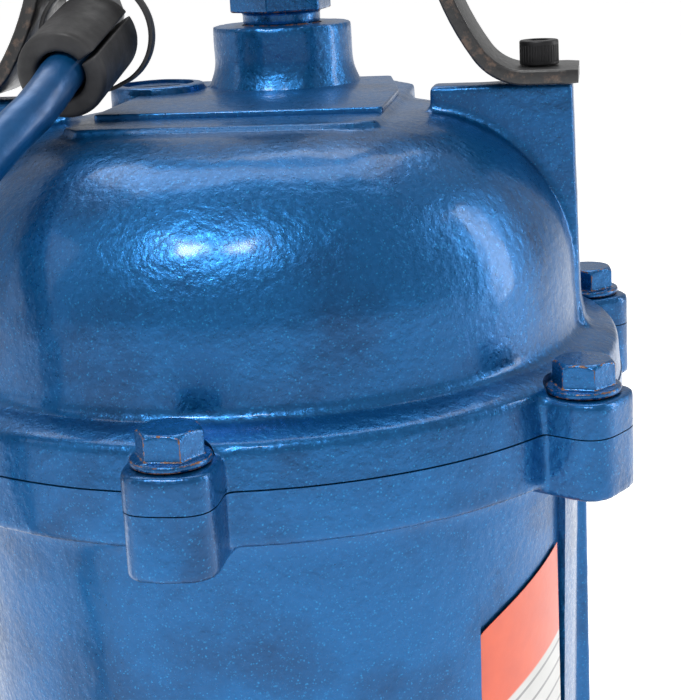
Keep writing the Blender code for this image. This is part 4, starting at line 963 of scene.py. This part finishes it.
def make_volute(paint):
    low, high = VOLUTE_LOW, VOLUTE_TOP
    outside = fillet([(JOINT_R, high), (JOINT_R, 0.0762), (0.0822, 0.0722), (0.0820, low)],
                     [0.0014, 0.004], 5)
    parts = [lathe("volute", [(0.0, high), *outside, (0.0, low)], 120),
             along_x(rod("nozzle", 0.0215, 0.030, OUTLET_FACE_X - 0.002, segments=64)),
             flange_plate("nozzle_flange", OUTLET_FACE_X - 0.008, OUTLET_FACE_X)]
    parts += lugs("volute_lug", BASE_LUG_R, low, 0.052, 0.016, BASE_ANGLES, BASE_CIRCLE)
    volute = cast("volute_casting", parts, 0.0011, 5, 0.00012)
    inside = [(0.0, high + 0.001), (0.0630, high + 0.001), (0.0630, 0.0780), (0.0699, 0.0750),
              (0.0699, low - 0.001), (0.0, low - 0.001)]
    cuts = [lathe("volute_inside", inside, 96),
            along_x(rod("nozzle_bore", BORE_R, 0.020, 0.130, segments=64)),
            *flange_holes(OUTLET_FACE_X - 0.012, OUTLET_FACE_X + 0.01)]
    cuts += bolt_holes(JOINT_HOLE_R, 0.0765, 0.090, VOLUTE_ANGLES, JOINT_CIRCLE)
    cuts += bolt_holes(JOINT_HOLE_R, 0.030, 0.060, BASE_ANGLES, BASE_CIRCLE)
    merged(volute, "DIFFERENCE", *cuts)
    volute.name = "volute_casting"
    show(thinned(volute, 0.6), paint, "blue_casting_paint", "volute_casing")


def make_base(paint):
    low, high = SUCTION_LOW, SUCTION_TOP
    edge = fillet([(0.0, high), (0.0900, high), (0.0900, low), (0.0, low)], [0.0012, 0.0012], 3)
    parts = [lathe("suction", edge, 96),
             *lugs("suction_lug", BASE_LUG_R, low, high, 0.016, BASE_ANGLES, BASE_CIRCLE)]
    suction = cast("suction_cover", parts, 0.0011, 2)
    eye = lathe("eye", fillet([(0.0, high + 0.001), (0.0300, high + 0.001), (0.0300, low + 0.001),
                               (0.0330, low - 0.001), (0.0, low - 0.001)], 0.001), 72)
    merged(suction, "DIFFERENCE", eye, *bolt_holes(JOINT_HOLE_R, 0.02, 0.045, BASE_ANGLES, BASE_CIRCLE))
    suction.name = "suction_cover"
    show(thinned(suction, 0.5), paint, "blue_casting_paint", "suction_plate")
    foot = fillet([(0.0, 0.0060), (0.0950, 0.0060), (0.0950, 0.0), (0.0, 0.0)], [0.0016, 0.0010], 4)
    parts = [lathe("foot", foot, 96),
             *lugs("post", BASE_LUG_R, 0.0, STRAINER_TOP, 0.0115, BASE_ANGLES, BASE_CIRCLE)]
    base = cast("strainer_foot", parts, 0.0010, 3)
    merged(base, "DIFFERENCE", *bolt_holes(JOINT_HOLE_R, 0.014, 0.040, BASE_ANGLES, BASE_CIRCLE))
    base.name = "strainer_foot"
    show(thinned(base, 0.5), paint, "blue_casting_paint", "strainer_base")


def swept(name, line, radius, sides=48):
    """A round solid along a line of points."""
    return tube(name, line, [radius] * len(line), sides)


def tube(name, line, radii, sides=20):
    """A round solid along a smooth line, with a radius for each point and flat ends."""
    line = [Vector(p) for p in line]
    build = bmesh.new()
    rings, side = [], None
    for i, here in enumerate(line):
        along = (line[min(i + 1, len(line) - 1)] - line[max(i - 1, 0)]).normalized()
        if side is None:
            side = along.orthogonal().normalized()
        side = (side - along * side.dot(along)).normalized()
        other = along.cross(side)
        turns = [math.tau * k / sides for k in range(sides)]
        rings.append([build.verts.new(here + radii[i] * (side * math.cos(a) + other * math.sin(a)))
                      for a in turns])
    skin(build, rings)
    return finished(name, build)


def make_outlet(paint, steel, plastic):
    face = OUTLET_FACE_X + GAP
    start = face + 0.0015 + GAP
    bend_x = start + 0.012
    centre_x, top_z = bend_x + ELBOW_RADIUS, OUTLET_Z + ELBOW_RADIUS + 0.012
    line = [(start + 0.002, OUTLET_Y, OUTLET_Z), (bend_x - 0.004, OUTLET_Y, OUTLET_Z)]
    line += [(bend_x + ELBOW_RADIUS * math.sin(math.radians(a)), OUTLET_Y,
              OUTLET_Z + ELBOW_RADIUS * (1 - math.cos(math.radians(a)))) for a in range(0, 91, 6)]
    body = swept("elbow_body", line + [(centre_x, OUTLET_Y, top_z - 0.002)], 0.0222)
    collar = rod("elbow_collar", 0.0263, top_z - 0.0125, top_z, (centre_x, OUTLET_Y), 64)
    flange = flange_plate("elbow_flange", start, start + 0.008)
    elbow = cast("outlet_elbow_casting", [body, collar, flange], 0.0009, 4, 0.00010)
    bore = [(start - 0.01, OUTLET_Y, OUTLET_Z), *line[1:], (centre_x, OUTLET_Y, top_z + 0.02)]
    way = swept("elbow_way", bore, BORE_R)
    merged(elbow, "DIFFERENCE", way, *flange_holes(start - 0.01, start + 0.012))
    elbow.name = "outlet_elbow_casting"
    show(thinned(elbow, 0.6), paint, "blue_casting_paint", "outlet_elbow")
    barb = [(0.0185, 0.058), (0.0200, 0.054)]
    for i in range(4):
        z = 0.054 - 0.0095 * i
        barb += [(0.0225, z - 0.0076), (0.0225, z - 0.0082), (0.0200, z - 0.0086)]
    barb += [(0.0200, 0.0130), (0.0250, 0.0130), (0.0250, 0.0003), (0.0152, 0.0003), (0.0152, -0.0085),
             (0.0130, -0.0085), (0.0150, 0.004), (0.0165, 0.020), (0.0165, 0.058)]
    hose = lathe("hose_tail", barb, 96, closed=True)
    moved(hose, Matrix.Translation((centre_x, OUTLET_Y, top_z)))
    applied(hose, ("BEVEL", {"width": 0.0004, "segments": 2, "limit_method": "ANGLE"}))
    show(hose, plastic, "black_plastic", "hose_barb")
    for side, label in ((-1, "lower"), (1, "upper")):
        bolt = steel_bolt(0.0040, 0.0190, 0.0132, 0.0055, 0.0088, 0.0016)
        bolt.name = f"elbow_bolt_{label}"
        at = (start + 0.0083, OUTLET_Y, OUTLET_Z + side * OUTLET_BOLT_REACH)
        moved(bolt, Matrix.Translation(at) @ Matrix.Rotation(math.pi / 2, 4, "Y"))
        show(bolt, steel, "zinc_bolt_steel", f"outlet_bolt_{label}")


def steel_bolt(shank, length, across_flats, head, washer, thick):
    rim = fillet([(0.0, thick), (washer, thick), (washer, 0.0), (0.0, 0.0)], [0.0003, 0.0003], 3)
    bolt = lathe("bolt", rim, 64)
    return merged(bolt, "UNION", hexagon("bolt_head", across_flats, thick * 0.6, thick + head),
                  rod("bolt_shank", shank, -length, thick * 0.5, segments=24))


def make_joint_bolts(steel):
    groups = (("housing_bolt", JOINT_ANGLES, JOINT_CIRCLE, 0.0150),
              ("volute_bolt", VOLUTE_ANGLES, JOINT_CIRCLE, 0.0150),
              ("base_bolt", BASE_ANGLES, BASE_CIRCLE, 0.0330))
    for label, angles, circle, length in groups:
        for i, angle in enumerate(angles):
            node = f"{label}_{i + 1}"
            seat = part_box(node)[0].z + length
            bolt = steel_bolt(0.0030, length, 0.0100, 0.0040, 0.0063, 0.0012)
            x, y = bearing_at(angle, circle)
            moved(bolt, Matrix.Translation((x, y, seat)) @ Matrix.Rotation(math.radians(20 * i), 4, "Z"))
            bolt.name = f"{label}_finished_{i + 1}"
            show(bolt, steel, "zinc_bolt_steel", node)


# ---- cable ----

CABLE_POINTS = [
    (0.000, 0.050, PARTING + 0.136), (0.000, 0.0505, PARTING + 0.150), (-0.002, 0.052, PARTING + 0.168),
    (-0.010, 0.052, PARTING + 0.188), (-0.026, 0.049, PARTING + 0.203), (-0.046, 0.044, PARTING + 0.206),
    (-0.064, 0.038, PARTING + 0.196), (-0.074, 0.032, PARTING + 0.177), (-0.073, 0.028, PARTING + 0.154),
    (-0.0640, 0.0280, PARTING + 0.130), (-0.0560, 0.0260, PARTING + 0.1130),
                (-0.0478, 0.0205, PARTING + 0.1032),
    (-0.0405, 0.0105, PARTING + 0.0978), *[SLEEVE_CENTRE + SLEEVE_AXIS * s for s in (0.018, 0.006, -0.006,
                                                                                     -0.016)],
    (-0.0415, -0.0450, PARTING + 0.0785), (-0.0462, -0.0550, PARTING + 0.0725),
    (-0.0530, -0.0680, PARTING + 0.0620), (-0.0610, -0.0820, PARTING + 0.0440),
                (-0.0680, -0.0940, PARTING + 0.0180),
    (-0.0740, -0.1030, PARTING - 0.0200), (-0.0790, -0.1090, PARTING - 0.0800),
                (-0.0840, -0.1130, PARTING - 0.1600),
    (-0.0890, -0.1150, PARTING - 0.2300), (-0.0960, -0.1150, PARTING - 0.2720),
                (-0.1080, -0.1110, PARTING - 0.3030),
    (-0.1260, -0.1030, FLOOR_LINE + 0.006), (-0.1420, -0.0950, FLOOR_LINE + 0.0005)]


def coil_points():
    """The wound turns: the bottom row from the outside in, then the two rows above it column by
    column back out, so that the last turn leaves on the outside. Columns and rows are a pitch apart."""
    slots = [(0, 0), (1, 0), (2, 0), (3, 0), (3, 1), (3, 2), (2, 2), (2, 1), (1, 1), (1, 2), (0, 2), (0, 1)]
    per_turn, shift = 36, 6
    points = []
    for turn, (column, row) in enumerate(slots):
        after = slots[min(turn + 1, len(slots) - 1)]
        for step in range(per_turn):
            share = max(0.0, (step - (per_turn - shift)) / shift)
            ease = share * share * (3 - 2 * share)
            angle = math.radians(-90) - math.tau * step / per_turn
            radius = COIL_TURN_R - COIL_PITCH * (column + (after[0] - column) * ease)
            z = FLOOR_LINE + COIL_PITCH * (row + (after[1] - row) * ease)
            points.append((COIL_CENTRE[0] + radius * math.cos(angle),
                           COIL_CENTRE[1] + radius * math.sin(angle), z))
    return points


def smooth_route(points, spacing):
    """Evenly spaced points on a smooth curve through the given ones."""
    fine = []
    padded = [points[0], *points, points[-1]]
    for a, b, c, d in zip(padded, padded[1:], padded[2:], padded[3:]):
        a, b, c, d = map(Vector, (a, b, c, d))
        for step in range(24):
            t = step / 24
            fine.append(0.5 * (2 * b + (c - a) * t + (2 * a - 5 * b + 4 * c - d) * t * t
                               + (3 * b - a - 3 * c + d) * t ** 3))
    fine.append(Vector(points[-1]))
    lengths = [0.0]
    for a, b in zip(fine, fine[1:]):
        lengths.append(lengths[-1] + (b - a).length)
    count = round(lengths[-1] / spacing)
    route, k = [], 0
    for i in range(count + 1):
        wanted = lengths[-1] * i / count
        while k < len(fine) - 2 and lengths[k + 1] < wanted:
            k += 1
        share = (wanted - lengths[k]) / (lengths[k + 1] - lengths[k])
        route.append(fine[k].lerp(fine[k + 1], share))
    return route


def make_plug(plastic, brass_metal, x, y, z):
    """A moulded three-pin plug that points along -X, with a ribbed grip."""
    half = z - GAP
    outline = [(0.0, -0.0062), (-0.006, -0.0070), (-0.018, -0.0125), (-0.034, -0.0150), (-0.036, -0.0140),
               (-0.036, 0.0140), (-0.034, 0.0150), (-0.018, 0.0125), (-0.006, 0.0070), (0.0, 0.0062)]
    shell = plate("plug_shell", rounded_box_outline(outline, 0.002), -half, half, 0.0028, 4)
    grooves = []
    for k in range(5):
        for side in (-1, 1):
            at = (-0.009 - 0.0030 * k, side * (0.0105 + 0.0012 * k), 0.0)
            grooves.append(block("groove", (0.0010, 0.004, 0.009), at))
    merged(shell, "DIFFERENCE", *grooves)
    softened(shell, 0.0004, 3)
    thinned(moved(shell, Matrix.Translation((x, y, z))), 0.5)
    shell.name = "plug_shell"
    show(shell, plastic, "black_plastic", "plug", angle=50.0)
    pins = [block(f"blade_{s}", (0.0170, 0.0015, 0.0062), (-0.0434, s * 0.0063, 0.0019), 0.0004, 2)
            for s in (-1, 1)]
    ground = moved(rod("ground", 0.0023, 0.0, 0.0206, segments=32),
                   Matrix.Translation((-0.0350, 0.0, -0.0060)) @ Matrix.Rotation(-math.pi / 2, 4, "Y"))
    blades = joined("plug_pins", *pins, ground)
    moved(blades, Matrix.Translation((x, y, z)))
    show(blades, brass_metal, "brass")
    return shell, blades


def make_cable(jacket, plastic, brass_metal, nylon):
    wound = coil_points()
    entry = (COIL_CENTRE[0] + 0.012, wound[0][1] + 0.0002, FLOOR_LINE)
    tail_y, tail_x = COIL_CENTRE[1] - COIL_TURN_R, COIL_CENTRE[0]
    plug_x = tail_x - 0.060
    tail = [(tail_x, tail_y, FLOOR_LINE + 1.0 * COIL_PITCH), (tail_x - 0.020, tail_y, FLOOR_LINE + 0.0092),
            (tail_x - 0.040, tail_y, FLOOR_LINE + 0.0071), (plug_x + 0.0004, tail_y, FLOOR_LINE + 0.0070)]
    route = smooth_route([*CABLE_POINTS, entry, *wound, *tail], 0.0065)
    cable = tube("supply_cable", route, [CABLE_R] * len(route), 22)
    bare = cable.data.attributes.new("bare_side", "FLOAT", "POINT")
    normals = [Vector(normal.vector) for normal in cable.data.vertex_normals]
    for out, value in zip(normals, bare.data):
        value.value = max(0.0, min(1.0, 0.9 * (-out.x - 0.35 * out.z) - 0.25))
    shell, blades = make_plug(plastic, brass_metal, plug_x, tail_y, FLOOR_LINE + 0.0072)
    show(cable, jacket, "cable_jacket", "power_cable", "cable_coil", "cable_tail")
    low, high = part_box("coil_tie")
    frame_corners = [(low.x, low.z), (low.x, high.z), (high.x, high.z), (high.x, low.z)]
    band = rounded_box_outline(frame_corners, 0.0035)
    build = bmesh.new()
    rows = []
    middle, thick = Vector(((low.x + high.x) / 2, 0.0, (low.z + high.z) / 2)), 0.0007
    for x, z in band:
        outer = Vector((x, 0.0, z))
        inward = [math.copysign(min(abs(gap), thick), gap) for gap in middle - outer]
        inner = outer + Vector(inward)
        corners = ((outer, low.y), (outer, high.y), (inner, high.y), (inner, low.y))
        rows.append([build.verts.new((place.x, y, place.z)) for place, y in corners])
    skin(build, rows, closed=True)
    tie = finished("coil_band", build)
    show(tie, nylon, "black_nylon", "coil_tie")


# ---- pieces inside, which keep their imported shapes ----

INSIDE = {
    "laminated": ("stator_core", "rotor_core"),
    "copper": ("stator_winding_upper", "stator_winding_lower"),
    "steel": ("shaft", "upper_bearing_outer", "upper_bearing_inner", "lower_bearing_outer",
              "lower_bearing_inner",
              "impeller_nut"),
    "rubber": ("cap_gasket", "gland_grommet", "seal_bellows", "outlet_gasket"),
    "paint": ("bearing_bracket",),
    "iron": ("impeller",),
    "carbon": ("seal_seat",),
    "ceramic": ("seal_rotor",),
    "can": ("start_capacitor",),
    "brass": ("oil_plug",),
}


def dress_inside(finishes):
    for key, names in INSIDE.items():
        for name in names:
            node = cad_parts[name]
            node.data.materials.clear()
            node.data.materials.append(finishes[key])


def main():
    make_camera()
    make_studio()
    paint = blue_paint("cast_blue_paint")
    bolt_paint = blue_paint("bolt_blue_paint", worn=0.55, rough=0.30)
    rubber = black_rubber("moulded_rubber")
    sleeve_rubber = black_rubber("sleeve_rubber", (0.012, 0.012, 0.013), 0.55, 600.0)
    nylon = black_rubber("tie_nylon", (0.014, 0.014, 0.015), 0.42, 300.0, 0.00003)
    plastic = black_rubber("moulded_plastic", (0.013, 0.013, 0.014), 0.45, 1500.0, 0.00004)
    zinc = bare_metal("zinc_steel", (0.52, 0.53, 0.55), 0.34, (1.0, 1.0, 1.0))
    brass_metal = bare_metal("plug_brass", (0.60, 0.42, 0.16), 0.28)
    screw_black = bare_metal("black_oxide", (0.020, 0.020, 0.022), 0.42, (1.0, 1.0, 1.0), 0.6)
    relief = make_gland(bolt_paint, rubber)
    make_cable(cable_paint("cable_jacket"), plastic, brass_metal, nylon)
    make_cap(paint)
    make_cap_bolts(bolt_paint)
    make_strap(strap_paint("strap_powder_coat"))
    make_handle_screws(screw_black)
    make_port(paint)
    make_sleeve(sleeve_rubber, nylon)
    make_housing(paint)
    make_label(label_film("label_film"))
    make_chamber(paint)
    make_volute(paint)
    make_base(paint)
    make_outlet(paint, zinc, plastic)
    make_joint_bolts(zinc)
    dress_inside({
        "laminated": bare_metal("laminations", (0.34, 0.35, 0.37), 0.45, (1.0, 1.0, 90.0)),
        "copper": bare_metal("copper_wire", (0.60, 0.24, 0.10), 0.35, (1.0, 1.0, 40.0), 0.8),
        "steel": bare_metal("machined_steel", (0.50, 0.51, 0.53), 0.22, (1.0, 1.0, 30.0)),
        "rubber": rubber, "paint": paint,
        "iron": bare_metal("impeller_iron", (0.13, 0.13, 0.135), 0.55, (1.0, 1.0, 1.0), 0.7),
        "carbon": black_rubber("seal_carbon", (0.02, 0.02, 0.021), 0.35),
        "ceramic": black_rubber("seal_ceramic", (0.62, 0.60, 0.55), 0.25),
        "can": bare_metal("capacitor_can", (0.62, 0.62, 0.60), 0.35, (1.0, 1.0, 8.0)),
        "brass": brass_metal})


main()
